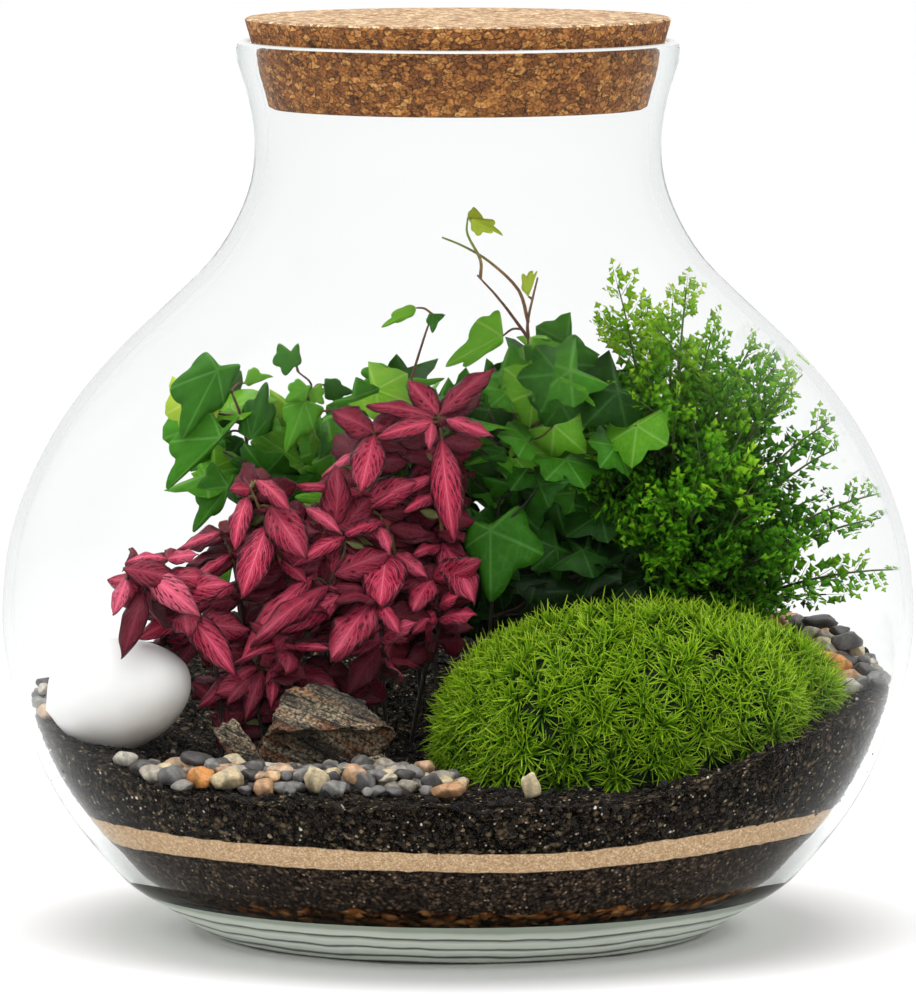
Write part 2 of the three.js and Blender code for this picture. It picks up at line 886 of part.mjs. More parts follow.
// Bright pebbles, each a node of its own.
const BRIGHT_PEBBLES = {
  pebble_white_spotted: [-100.5, -63.5, 7.5, 7, 5, 0.3, "#d8d3c8"],
  pebble_cream_long: [-89, -71.5, 10.5, 7, 5, 0.2, "#d3bf9d"],
  pebble_orange_round: [-77.5, -84.5, 8.5, 8, 7, 0.2, "#d9964f"],
  pebble_cream_round: [-69.5, -87, 9.5, 8.5, 8, 0.5, "#dcc08a"],
  pebble_pink: [-56, -81, 6, 6, 5.5, 0.4, "#c9a08a"],
  pebble_cream_tall: [-42, -92, 7.5, 7, 9, 0.1, "#d7bd90"],
  pebble_cream_wide: [-22, -83, 9.5, 8, 7, 0.3, "#cdb791"],
  pebble_striped: [-5, -74, 8.5, 6, 5, 0.1, "#b9a98f"],
  pebble_tan_front: [-3, -104, 10, 9, 6, 0.1, "#cfa47a"],
  pebble_tan_moss: [22.5, -104, 5.5, 5.5, 7, 0.2, "#c2aa86"],
};
const RIGHT_PEBBLES = [
  [118, 35, 13.5, 11, 9.5, 0.2],
  [110, 41, 10, 10, 7, 0.5],
  [112, 32, 9, 9, 7, 0.3],
  [120, 25, 10, 10, 7, 0.4],
  [125, 17, 10, 9.5, 6.5, 0.1],
  [119, 15, 9.5, 9.5, 6, 0.8],
  [126, 8, 9, 9.5, 6.5, 0.6],
  [121, 1, 10, 9.5, 6, 0.3],
];
const LEFT_PEBBLES = [
  [-126, 9, 8.5, 9, 9, 0.3],
  [-120, 13, 9, 9, 7, 0.8],
  [-124, 1, 9.5, 8.5, 8, 0.1],
  [-125, -6, 8, 8.5, 6.5, 0.9],
];

// Small pebbles rest on the ground and are drawn out a little, so that they meet.
function heap(list) {
  const stretch = 1.2;
  const cores = list.map(([x, y, w, d, h, turn], i) =>
    pebble(
      [x, y, ground(x, y) + h * 0.4 + 1.3],
      [w, d, h].map((size) => (size / 2) * stretch),
      [0, i % 2 ? 0.15 : -0.1, turn],
      5,
      4,
    ),
  );
  return joined(cores).subtract(groundLifted);
}

// Each body of a heap that holds together becomes a node; single scraps are dropped.
function heapNodes(name, shape, colour) {
  const bodies = shape.decompose().filter((b) => b.volume() > 40);
  bodies.sort((a, b) => b.volume() - a.volume());
  bodies.forEach((b, i) =>
    place(
      bodies.length > 1 ? name + "_" + (i + 1) : name,
      tidy(b),
      colour,
      0.55,
    ),
  );
}

// ---- moss ----

const MOSS = { at: [55, -32], half: [64, 55], top: 47 };

function mossSurface(u, a) {
  // u from 0 at the crown to 1 at the rim, a round it
  const bump = 1 + 0.05 * Math.sin(5 * a) + 0.03 * Math.cos(9 * a + 1);
  const r = Math.sin((u * Math.PI) / 2) * bump;
  const x = MOSS.at[0] + MOSS.half[0] * r * Math.cos(a);
  const y = MOSS.at[1] + MOSS.half[1] * r * Math.sin(a);
  const lift = Math.cos((u * Math.PI) / 2);
  const foot = ground(x, y) - 3;
  const crown = 54 + MOSS.top;
  return V(x, y, foot + (crown - foot) * Math.pow(Math.max(0, lift), 0.72));
}

function mossCore() {
  const around = 18;
  const downs = [0.24, 0.44, 0.62, 0.78, 0.91, 1];
  const points = [mossSurface(0, 0)];
  downs.forEach((u, k) => {
    for (let i = 0; i < around; i++) {
      const p = mossSurface(u, (2 * Math.PI * (i + (k % 2) / 2)) / around);
      const tuft = u < 1 && i % 2 ? 1.6 : -1.6;
      points.push(p.setZ(p.z + tuft));
    }
  });
  const at = (k, i) => 1 + k * around + (i % around);
  const faces = [];
  for (let i = 0; i < around; i++) {
    faces.push([0, at(0, i), at(0, i + 1)]);
    for (let k = 0; k < downs.length - 1; k++)
      faces.push(
        [at(k, i), at(k + 1, i), at(k + 1, i + 1)],
        [at(k, i), at(k + 1, i + 1), at(k, i + 1)],
      );
  }
  const bottom = points.length;
  points.push(V(MOSS.at[0], MOSS.at[1], 40));
  for (let i = 0; i < around; i++)
    faces.push([
      bottom,
      at(downs.length - 1, i + 1),
      at(downs.length - 1, i),
    ]);
  return onGround(pointsSolid(points, faces));
}

// ---- assembly ----

const nodes = new Map(); // name -> { shape, colour, roughness, ... }
const place = (name, shape, colour, roughness = 0.8, extra = {}) =>
  nodes.set(name, { shape, colour, roughness, ...extra });

place("glass_vase", glass, "#e6efe8", 0.03, { opacity: 0.25 });
place("cork_stopper", cork, "#b07c4a", 0.9);
place("drainage_layer", bed(FLOOR + GAP, 16), "#8a5a34", 0.9);
place("lower_soil", bed(16 + GAP, 33.2), "#33271f", 1);
place("sand_band", bed(33.5, 41.4), "#cba987", 1);

place("white_stone", onGround(whiteStone), "#ece9e4", 0.55);
place("rock_large", onGround(rockLarge), "#7d6a55", 0.85);
place("rock_small", onGround(rockSmall), "#756350", 0.85);
place("rock_chip", onGround(rockChip), "#7a5340", 0.85);

const bright = Object.entries(BRIGHT_PEBBLES).map(
  ([name, [x, y, w, d, h, turn, colour]]) => {
    const at = [x, y, ground(x, y) + h / 2];
    const half = [w / 2, d / 2, h / 2];
    const tilt = [0, 0.1, turn];
    return {
      name,
      colour,
      shape: onGround(pebble(at, half, tilt, 8, 5)),
      room: pebble(
        at,
        half.map((size) => size + GAP),
        tilt,
        8,
        5,
      ),
    };
  },
);
let frontHeap = heap(FRONT_PEBBLES);
for (const { room } of bright) frontHeap = frontHeap.subtract(room);
for (const { name, shape, colour } of bright) place(name, shape, colour, 0.5);
heapNodes("pebbles_front", frontHeap, "#77756f");
heapNodes("pebbles_right", heap(RIGHT_PEBBLES), "#a58a70");
heapNodes("pebbles_left", heap(LEFT_PEBBLES), "#8b8579");

const core = mossCore();

// Stems first, so that every leaf can keep clear of them.
const STEM = { nerve: 1.1, ivy: 0.9, fern: 2.6 };
const STALK = 0.55;
const HOLE_DEPTH = 11;
const holes = [];
const plants = [];

// A stem stands upright in its hole in the soil. Gives the way up from its end.
function planted(x, y, radius) {
  const z = ground(x, y);
  holes.push(
    tube([V(x, y, z - HOLE_DEPTH), V(x, y, z + 12)], (radius + GAP) * 1.3, 4),
  );
  return [V(x, y, z - HOLE_DEPTH + GAP), V(x, y, z + 1), V(x, y, z + 6)];
}

// The point on a stem's axis, as its tube follows it, that is nearest to p and not above it.
function nearest(axis, p) {
  let best = null;
  for (let i = 0; i + 1 < axis.length; i++)
    for (let k = 0; k <= 8; k++) {
      const q = axis[i].clone().lerp(axis[i + 1], k / 8);
      const far = q.distanceTo(p) + Math.max(0, q.z - p.z) * 0.8;
      if (!best || far < best.far) best = { far, point: q };
    }
  return best.point;
}

function grow(plant, radius) {
  const [x, y] = plant.root;
  const axes = [];
  const parts = [];
  const stem = (way, thick, sides) => {
    const curve = new THREE.CatmullRomCurve3(way, false, "centripetal");
    axes.push(curve.getSpacedPoints(way.length));
    parts.push(tube(way, thick, sides, way.length));
  };
  stem([...planted(x, y, radius), ...plant.path.map((p) => V(...p))], radius, 4);
  for (const branch of plant.branches || [])
    stem(
      branch.map((p) => V(...p)),
      radius * 0.72,
      3,
    );
  return { plant, radius, axes, shape: joined(parts) };
}

for (const plant of NERVE_PLANTS)
  plants.push({ kind: "nerve", ...grow(plant, STEM.nerve) });
for (const plant of IVY_PLANTS)
  plants.push({ kind: "ivy", ...grow(plant, STEM.ivy) });

const fernFoot = planted(...FERN_CROWN, STEM.fern);
const fernBase = V(...FERN_CROWN, ground(...FERN_CROWN) + 9);
const fernTrunk = tube(
  [fernFoot[0], fernBase.clone().setZ(fernBase.z + 1.5)],
  STEM.fern,
  6,
);
const fern = { kind: "fern", plant: { name: "fern" }, shape: fernTrunk };
plants.push(fern);

const fixed = [
  ...[...nodes.values()]
    .filter((n) => n.shape !== glass && n.shape !== cork)
    .map((n) => n.shape),
  core,
  groundLifted,
];

// Shifts in depth that are tried in turn until a leaf is clear of other nodes.
const SHIFTS = [0, -3, 3, -6, 6, -9, 9, -13, 13, -17, 17];

function clearOf(shape, own) {
  for (const other of fixed) if (volumeOf(shape, other) > 1e-4) return false;
  for (const other of plants)
    if (other !== own && volumeOf(shape, other.shape) > 1e-4) return false;
  return true;
}

// Thickness of a leaf with the room it needs on both faces.
const ROOM = BLADE + 2 * GAP + 0.1;

// A nerve plant's leaf grows from its stem, or on a short stalk if it starts away from it.
function nerveLeaf(grown, leaf, shift) {
  const [bx, by, bz, tx, ty, tz, width] = leaf;
  const measured = V(bx, by, bz);
  const from = nearest(grown.axes[0], measured);
  const tip = inside(V(tx, ty + shift, tz));
  const near = from.distanceTo(measured) < 3;
  const base = near ? from.clone().lerp(tip, -0.03) : measured;
  const rows = width > 8 ? 3 : 2;
  return (thickness, extra) => {
    const blade = ovalLeaf(
      base,
      tip,
      Math.max(width, 3.2) + extra,
      thickness,
      rows,
    );
    if (near) return [blade];
    const to = base.clone().lerp(tip, 0.12);
    return [blade, tube([from, to], STALK + extra / 2, 3)];
  };
}

// An ivy leaf hangs on a stalk from the nearest stem or branch.
function ivyLeaf(grown, leaf, shift) {
  const [ax, ay, az, slope, ...offsets] = leaf;
  const at = inside(V(ax, ay + shift, az), 4);
  const lobes = [];
  for (let i = 0; i < offsets.length; i += 2)
    lobes.push([offsets[i], offsets[i + 1]]);
  const starts = grown.axes.map((axis) => nearest(axis, at));
  starts.sort((a, b) => a.distanceTo(at) - b.distanceTo(at));
  const [tipX, tipZ] = lobes[0];
  const on = V(at.x + tipX * 0.14, at.y + tipZ * 0.14 * slope - 0.5, at.z + tipZ * 0.14);
  return (thickness, extra) => [
    lobedLeaf(at, slope, lobes, thickness),
    tube([starts[0], on], STALK + extra / 2, 3),
  ];
}

for (const grown of plants) {
  const makeLeaf = { nerve: nerveLeaf, ivy: ivyLeaf }[grown.kind];
  for (const leaf of grown.plant.leaves || [])
    for (const shift of SHIFTS) {
      const make = makeLeaf(grown, leaf, shift);
      if (!make(ROOM, 2 * GAP).every((piece) => clearOf(piece, grown))) continue;
      grown.shape = grown.shape.add(joined(make(BLADE, 0)));
      break;
    }
}

for (const [x, y, z, width, pairs] of FRONDS) {
  const round = Math.atan2(y - FERN_CROWN[1], x - FERN_CROWN[0]);
  const base = fernBase
    .clone()
    .add(V(1.9 * Math.cos(round), 1.9 * Math.sin(round), 0));
  for (const shift of [0, 4, 8, 12, -4, 16, 20]) {
    const tip = inside(V(x, y + shift, z), 2.5);
    if (!clearOf(frond(base, tip, width + 0.6, pairs, ROOM), fern)) continue;
    fern.shape = fern.shape.add(frond(base, tip, width, pairs));
    break;
  }
}

// Needles stand out of the moss all over, leaning outwards.
const draw = seeded(20417);
let moss = core;
const needles = [];
const NEEDLES = 100;
for (let i = 0; i < NEEDLES; i++) {
  const u = 0.05 + 0.93 * Math.sqrt((i + 0.5) / NEEDLES);
  const a = i * 2.39996 + 0.3 * draw();
  const root = mossSurface(u, a);
  const beyond = mossSurface(Math.min(1, u + 0.06), a);
  const out = V(root.x - MOSS.at[0], root.y - MOSS.at[1], 0)
    .multiplyScalar(1 / 60)
    .add(V(0, 0, 1.05 - 0.5 * u));
  out.add(V(draw() - 0.5, draw() - 0.5, (draw() - 0.5) * 0.4)).normalize();
  const length = 7.5 + 3.5 * draw();
  const start = root.clone().lerp(beyond, draw() * 0.5).addScaledVector(out, -2.6);
  const tip = inside(start.clone().addScaledVector(out, length + 2.6), 1.5);
  const probe = needle(
    start.clone(),
    tip.clone().addScaledVector(out, 0.5),
    1.7,
  );
  const others = [
    ...plants.map((p) => p.shape),
    ...[...nodes.values()]
      .filter((n) => n.shape !== glass && n.shape !== cork)
      .map((n) => n.shape),
  ];
  if (others.some((o) => volumeOf(probe, o) > 1e-4)) continue;
  needles.push(needle(start, tip, 1.15));
}
moss = biggest(joined([core, ...needles]).subtract(groundLifted));
place("moss_cushion", tidy(moss), "#7fae1f", 0.9);

const PLANT_LOOK = {
  nerve: ["#c4415f", 0.55],
  ivy: ["#3f8a2c", 0.5],
  fern: ["#5c9f24", 0.6],
};
for (const { kind, plant, shape } of plants)
  place(plant.name, tidy(shape), ...PLANT_LOOK[kind]);

// The upper soil fills the vase up to the ground, with a plain hole for each stem.
let soil = bed(41.7, 112).intersect(groundSolid);
for (const hole of holes) soil = soil.subtract(hole);
place("upper_soil", biggest(soil), "#2a211b", 1);

const terrarium = new THREE.Group();
terrarium.name = "glass_plant_terrarium";
for (const [name, node] of nodes) {
  const material = new THREE.MeshStandardMaterial({
    color: node.colour,
    roughness: node.roughness,
    metalness: 0,
    transparent: node.opacity !== undefined,
    opacity: node.opacity ?? 1,
  });
  const mesh = new THREE.Mesh(geometryOf(node.shape), material);
  mesh.name = name;
  terrarium.add(mesh);
}

export default terrarium;
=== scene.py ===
"""Looks of a glass plant terrarium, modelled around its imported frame.

Every piece is modelled in millimetres and turned to metres when it is dressed.
"""

import logging
import math
from collections.abc import Callable, Iterator, Sequence
from dataclasses import dataclass, field
from enum import Enum
from functools import partial

import bmesh
import bpy
from mathutils import Matrix, Vector, noise


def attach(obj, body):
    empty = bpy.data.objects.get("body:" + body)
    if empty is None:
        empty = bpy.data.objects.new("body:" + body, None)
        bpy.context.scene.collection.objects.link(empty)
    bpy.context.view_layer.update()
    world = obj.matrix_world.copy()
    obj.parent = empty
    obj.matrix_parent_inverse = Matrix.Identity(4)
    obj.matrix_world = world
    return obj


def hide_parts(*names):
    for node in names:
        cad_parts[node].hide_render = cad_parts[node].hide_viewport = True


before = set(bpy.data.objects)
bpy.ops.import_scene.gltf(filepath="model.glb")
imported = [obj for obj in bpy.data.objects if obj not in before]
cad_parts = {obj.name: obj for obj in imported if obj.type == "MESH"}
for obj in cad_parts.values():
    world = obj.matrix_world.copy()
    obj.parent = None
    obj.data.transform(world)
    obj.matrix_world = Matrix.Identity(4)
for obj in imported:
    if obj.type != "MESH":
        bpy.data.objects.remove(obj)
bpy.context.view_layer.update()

log = logging.getLogger("terrarium")

MM = 0.001
ROOT = "root"

Point = tuple[float, ...]
Value = float | Callable[[Vector], float]
Piece = bpy.types.Object

RIGHT = Vector((1, 0, 0))
BACK = Vector((0, 1, 0))
UP = Vector((0, 0, 1))
TO_VIEWER = Vector((0, -0.84, 0.54))  # the way that most leaves face
GOLDEN_TURN = 2.39996  # radians from one point to the next, which spreads them evenly


# ---- numbers and draws ----


class Draws:
    """Seeded draws, the same on every run: each state is the last one times a factor."""

    FACTOR = 48271
    PRIME = 2**31 - 1

    def __init__(self, seed: int) -> None:
        """Start the row of draws from a seed."""
        self.state = seed

    def unit(self) -> float:
        """Return a number from 0 to 1."""
        self.state = self.state * self.FACTOR % self.PRIME
        return self.state / self.PRIME

    def between(self, low: float, high: float) -> float:
        """Return a number from low to high."""
        return low + (high - low) * self.unit()

    def direction(self) -> Vector:
        """Return a direction with no preference."""
        up = self.between(-1, 1)
        turn = self.between(0, 2 * math.pi)
        flat = math.sqrt(1 - up * up)
        return Vector((flat * math.cos(turn), flat * math.sin(turn), up))

    def near(self, way: Vector, stray: float) -> Vector:
        """Return a unit vector along a way, or off it by as much as it may stray."""
        return (way + self.direction() * stray).normalized()


def smooth_step(t: float) -> float:
    """Ease from 0 at t = 0 to 1 at t = 1."""
    t = min(1.0, max(0.0, t))
    return t * t * (3 - 2 * t)


def heading(turn: float) -> Vector:
    """Return the level direction at a turn, in radians, from the x axis."""
    return Vector((math.cos(turn), math.sin(turn), 0))


def smooth_line(points: Sequence[Point], steps: int) -> list[Vector]:
    """Draw a smooth line through some points.

    Args:
        points: What the line passes, in order, with two or three axes.
        steps: Stretches between two of them.

    Returns:
        The line's points, from the first to the last.
    """
    knots = [Vector(p) for p in points]
    knots = [2 * knots[0] - knots[1], *knots, 2 * knots[-1] - knots[-2]]
    line = []
    for a, b, c, d in zip(knots, knots[1:], knots[2:], knots[3:]):
        for step in range(steps):
            t = step / steps
            bend = (2 * a - 5 * b + 4 * c - d) * t**2 + (3 * b - a - 3 * c + d) * t**3
            line.append(0.5 * (2 * b + (c - a) * t + bend))
    return [*line, knots[-2]]


def read_rows(rows: Sequence[Sequence[float]], at: float) -> float:
    """Read a value from rows of (place, value) in rising order of place."""
    if at <= rows[0][0]:
        return rows[0][1]
    for (a, low), (b, high) in zip(rows, rows[1:]):
        if at <= b:
            return low + (high - low) * (at - a) / ((b - a) or 1)
    return rows[-1][1]


def rough(at: Vector, size: float, seed: float = 0) -> float:
    """Return smooth noise, about -0.6 to 0.6, whose bumps are size wide."""
    return noise.noise(at / size + Vector((seed, 2.3 * seed, -seed)))


def within(outline: Sequence[Point], x: float, y: float) -> bool:
    """Tell whether a point lies within a closed outline."""
    hit = False
    for (ax, ay), (bx, by) in zip(outline, [*outline[1:], outline[0]]):
        if (ay > y) != (by > y) and x < (bx - ax) * (y - ay) / (by - ay) + ax:
            hit = not hit
    return hit


# ---- the workbench: modelling by operators ----


def focus(piece: Piece) -> None:
    """Select one object alone and make it the active one."""
    bpy.ops.object.select_all(action="DESELECT")
    piece.select_set(True)
    bpy.context.view_layer.objects.active = piece


def open_edit(piece: Piece) -> None:
    """Enter edit mode on one object with all of it selected."""
    focus(piece)
    bpy.ops.object.mode_set(mode="EDIT")
    bpy.ops.mesh.select_all(action="SELECT")


def close_edit(outwards: bool = True) -> None:
    """Leave edit mode, with the faces turned outwards unless they are said to be right."""
    if outwards:
        bpy.ops.mesh.select_all(action="SELECT")
        bpy.ops.mesh.normals_make_consistent(inside=False)
    bpy.ops.object.mode_set(mode="OBJECT")


def start(primitive: str, name: str, **settings: float | str | bool | Point) -> Piece:
    """Add a primitive at its size and place, and name it.

    Args:
        primitive: The end of the operator's name, such as "circle".
        name: The new object's name.
        **settings: What the operator is given.

    Returns:
        The object, alone selected, with its place in its mesh.
    """
    bpy.ops.object.select_all(action="DESELECT")
    getattr(bpy.ops.mesh, "primitive_" + primitive + "_add")(**settings)
    piece = bpy.context.object
    piece.name = piece.data.name = name
    bpy.ops.object.transform_apply()
    return piece


def reshape(piece: Piece, move: Callable[[Vector], Vector]) -> Piece:
    """Move every vertex of a piece by a rule, and return the piece."""
    for vertex in piece.data.vertices:
        vertex.co = move(vertex.co)
    return piece


def mark(piece: Piece, name: str, value: Value) -> Piece:
    """Give every vertex a number that a finish reads, as one value or by a rule."""
    attribute = piece.data.attributes.get(name) or piece.data.attributes.new(name, "FLOAT", "POINT")
    if callable(value):
        numbers = [value(vertex.co) for vertex in piece.data.vertices]
    else:
        numbers = [value] * len(piece.data.vertices)
    attribute.data.foreach_set("value", numbers)
    return piece


def draw_ring(share: float) -> None:
    """Extrude the selected edges, and make the new ring larger or smaller by a share."""
    bpy.ops.mesh.extrude_edges_indiv()
    bpy.ops.transform.resize(value=(share, share, 1), center_override=(0, 0, 0))


def turned(name: str, outline: Sequence[Point], sides: int) -> Piece:
    """Turn a closed body: a circle is drawn out ring by ring, and both ends are closed.

    Args:
        name: The piece's name.
        outline: Radius and height of each ring, from one end of the body to the other.
        sides: Facets round it.

    Returns:
        The body, in object mode.
    """
    (radius, height), *rest = outline
    piece = start(
        "circle", name, vertices=sides, radius=radius, fill_type="NGON", location=(0, 0, height)
    )
    open_edit(piece)
    for wide, high in rest:
        draw_ring(wide / radius)
        bpy.ops.transform.translate(value=(0, 0, high - height))
        radius, height = wide, high
    bpy.ops.mesh.edge_face_add()
    close_edit()
    return piece


def stamp(
    model: Piece, at: Vector, along: Vector, across: Vector, face: Vector, **marks: float
) -> Piece:
    """Copy a model, with its own mesh, to a place.

    Args:
        model: What is copied.
        at: Where the model's origin goes.
        along: What its x axis becomes, with its length.
        across: What its y axis becomes.
        face: What its z axis becomes.
        **marks: Numbers that a finish reads, by name.

    Returns:
        The copy.
    """
    place = Matrix((along, across, face)).transposed().to_4x4()
    place.translation = at
    copy = model.copy()
    copy.data = model.data.copy()
    copy.data.transform(place)
    bpy.context.collection.objects.link(copy)
    for name, value in marks.items():
        mark(copy, name, value)
    return copy


def facing(along: Vector, face: Vector) -> tuple[Vector, Vector]:
    """Return the unit vectors across and off a blade that runs along and looks towards face."""
    across = face.cross(along).normalized()
    return across, along.cross(across).normalized()


def joined(name: str, pieces: Sequence[Piece]) -> Piece:
    """Join pieces into the first of them, and name it."""
    bpy.ops.object.select_all(action="DESELECT")
    for piece in pieces:
        piece.select_set(True)
    bpy.context.view_layer.objects.active = pieces[0]
    if len(pieces) > 1:
        bpy.ops.object.join()
    pieces[0].name = pieces[0].data.name = name
    return pieces[0]


def modified(piece: Piece, kind: str, **settings: float | int | str | bool) -> Piece:
    """Add a modifier with its settings, apply it, and return the piece."""
    focus(piece)
    modifier = piece.modifiers.new(kind.lower(), kind)
    for name, value in settings.items():
        setattr(modifier, name, value)
    bpy.ops.object.modifier_apply(modifier=modifier.name)
    return piece


def thrown_away(*pieces: Piece) -> None:
    """Delete models once they are copied."""
    for piece in pieces:
        bpy.data.objects.remove(piece, do_unlink=True)


def stalks(name: str, paths: Sequence[tuple[Sequence[Vector], float, float]], sides: int) -> Piece:
    """Draw round stalks along paths, each thinner towards its end.

    Args:
        name: The piece's name.
        paths: The points of each stalk with its radius at the first and at the last.
        sides: Facets round a stalk, less four.

    Returns:
        One mesh of them all.
    """
    curve = bpy.data.curves.new(name, "CURVE")
    curve.dimensions = "3D"
    curve.bevel_depth = 1
    curve.bevel_resolution = sides
    curve.use_fill_caps = True
    for points, thick, thin in paths:
        spline = curve.splines.new("POLY")
        spline.points.add(len(points) - 1)
        for i, (knot, point) in enumerate(zip(spline.points, points)):
            knot.co = (*point, 1)
            knot.radius = thick + (thin - thick) * i / (len(points) - 1)
    piece = bpy.data.objects.new(name, curve)
    bpy.context.collection.objects.link(piece)
    focus(piece)
    bpy.ops.object.convert(target="MESH")
    return bpy.context.object


def paint(piece: Piece, *finishes: "Finish") -> None:
    """Give a piece its finishes, in order."""
    for finish in finishes:
        piece.data.materials.append(finish.made())


def dress(
    piece: Piece, nodes: Sequence[str], finishes: Sequence["Finish"] = (),
    crease: float = 180,
) -> Piece:
    """Finish a piece: finishes, smooth faces, metres, the body it rides on and what it stands for.

    Args:
        piece: What is finished.
        nodes: The frame's nodes that it stands for.
        finishes: What its slots hold, in order, where it has none yet.
        crease: The angle, in degrees, past which an edge stays sharp.

    Returns:
        The piece.
    """
    paint(piece, *finishes)
    focus(piece)
    if crease < 180:
        bpy.ops.object.shade_smooth_by_angle(angle=math.radians(crease))
    else:
        bpy.ops.object.shade_smooth()
    piece.data.transform(Matrix.Scale(MM, 4))
    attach(piece, ROOT)
    if nodes:
        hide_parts(*nodes)
    log.info(
        "%s: %d faces for %s", piece.name, len(piece.data.polygons), ", ".join(nodes) or "no node"
    )
    return piece


# ---- finishes ----


def linear(colour: str) -> tuple[float, float, float, float]:
    """Turn an sRGB hex colour to linear light."""
    shares = [int(colour[i : i + 2], 16) / 255 for i in (1, 3, 5)]
    red, green, blue = (s / 12.92 if s <= 0.04045 else ((s + 0.055) / 1.055) ** 2.4 for s in shares)
    return red, green, blue, 1.0


def per(size: float) -> float:
    """Return the scale of a pattern whose cells are size millimetres wide."""
    return 1 / (size * MM)


Socket = bpy.types.NodeSocket
Given = Socket | float | Point
Inputs = dict[str | int, Given]
Adder = Callable[..., Socket]  # add_node on a material's own tree
Stops = Sequence[tuple[float, str]]

# settings of a Mix node: it lays one colour over another, or darkens it by the other
OVER = {"data_type": "RGBA"}
TIMES = {"data_type": "RGBA", "blend_type": "MULTIPLY"}


def add_node(
    tree: bpy.types.NodeTree, kind: str, given: Inputs | Sequence[Given] = (), out: str | int = 0,
    stops: Stops = (), **settings: str | bool,
) -> Socket | None:
    """Add a node with its settings and links.

    Args:
        tree: The material's nodes.
        kind: The end of the node's type, such as "TexNoise", or "Math.ADD" with its operation.
        given: What each input is linked from or set to, by name or number, or in their order.
        out: The output that is wanted.
        stops: Places and hex colours of a colour ramp.
        **settings: The node's own settings.

    Returns:
        The output, or None for a node without one.
    """
    kind, _, operation = kind.partition(".")
    node = tree.nodes.new("ShaderNode" + kind)
    if operation:
        node.operation = operation
    for name, value in settings.items():
        setattr(node, name, value)
    if stops:
        ramp = node.color_ramp.elements
        ramp[0].position, ramp[-1].position = stops[0][0], stops[-1][0]
        for place, _ in stops[1:-1]:
            ramp.new(place)
        for element, (_, colour) in zip(ramp, stops):
            element.color = linear(colour)
    for name, value in given.items() if isinstance(given, dict) else enumerate(given):
        if isinstance(value, Socket):
            tree.links.new(value, node.inputs[name])
        else:
            node.inputs[name].default_value = value
    return node.outputs[out] if len(node.outputs) else None


@dataclass(frozen=True)
class Finish:
    """What a surface is made of: its name, its gloss, and in a subclass its pattern."""

    name: str
    roughness: float = 0.7
    specular: float = 0.5

    def pattern(self, add: Adder) -> Inputs:
        """Return the shader's inputs that a pattern or a colour drives."""
        raise NotImplementedError

    def output(self, add: Adder) -> Inputs:
        """Return what the material's output is linked from."""
        given = {"Roughness": self.roughness, "Specular IOR Level": self.specular}
        return {"Surface": add("BsdfPrincipled", {**given, **self.pattern(add)})}

    def made(self) -> bpy.types.Material:
        """Return the material, made on its first use."""
        if self.name in bpy.data.materials:
            return bpy.data.materials[self.name]
        material = bpy.data.materials.new(self.name)
        material.use_nodes = True
        material.node_tree.nodes.clear()
        add = partial(add_node, material.node_tree)
        add("OutputMaterial", self.output(add))
        return material


@dataclass(frozen=True)
class ClearGlass(Finish):
    """Soda-lime glass, mouth-blown: clear, and a breath of green where a look runs along the wall.

    Light that falls on the plants goes straight through, so they aren't lit by sparks.
    """

    ior: float = 1.06  # from 1.5, so that the wall doesn't veil what stands behind it
    tint: Point = (0.83, 0.858, 0.85, 1.0)
    density: float = 46.0

    def output(self, add: Adder) -> Inputs:
        """Return the shader and the colour inside the wall."""
        glass = add(
            "BsdfPrincipled",
            {
                "Base Color": (1.0, 1.0, 1.0, 1.0), "Roughness": self.roughness, "IOR": self.ior,
                "Transmission Weight": 1.0,
            },
        )
        clear = add("BsdfTransparent")
        bounced = add("LightPath", (), "Is Diffuse Ray")
        shadow = add("LightPath", (), "Is Shadow Ray")
        seen = add("MixShader", (bounced, glass, clear))
        return {
            "Surface": add("MixShader", (shadow, seen, clear)),
            "Volume": add("VolumeAbsorption", {"Color": self.tint, "Density": self.density}),
        }


@dataclass(frozen=True)
class PaintedFootLight(Finish):
    """The vase's foot, thick soda-lime glass: it gathers the light of the table.

    Its pale green and the dark streaks round it are painted light and shade, for what clear glass
    shows there; it is drawn closed, because the beds above it would turn clear glass black.
    """

    roughness: float = 0.3
    specular: float = 0.2

    def pattern(self, add: Adder) -> Inputs:
        """Paint the light and dark streaks that run round the foot and waver a little."""
        place = add("TexCoord", (), "Object")
        height = add("SeparateXYZ", (place,), "Z")
        waver = add("TexNoise", {"Vector": place, "Scale": per(34), "Detail": 3.0})
        height = add("Math.MULTIPLY_ADD", (waver, 4 * MM, height))
        share = add("MapRange", (height, 2 * MM, 15 * MM))
        stops = (
            (0.0, "#6d756a"), (0.05, "#f0f3e9"), (0.15, "#dde3d5"), (0.18, "#3d463e"),
            (0.215, "#49524a"), (0.25, "#d2dbcc"), (0.38, "#f6f8f2"), (0.425, "#4c564e"),
            (0.445, "#566058"), (0.48, "#dde4d6"), (0.62, "#eaeee4"), (0.69, "#b3bdae"),
            (0.725, "#434d46"), (0.75, "#4d5750"), (0.79, "#e2e8db"), (0.92, "#ced6c8"),
            (1.0, "#97a192"),
        )
        return {"Base Color": add("ValToRGB", (share,), stops=stops)}


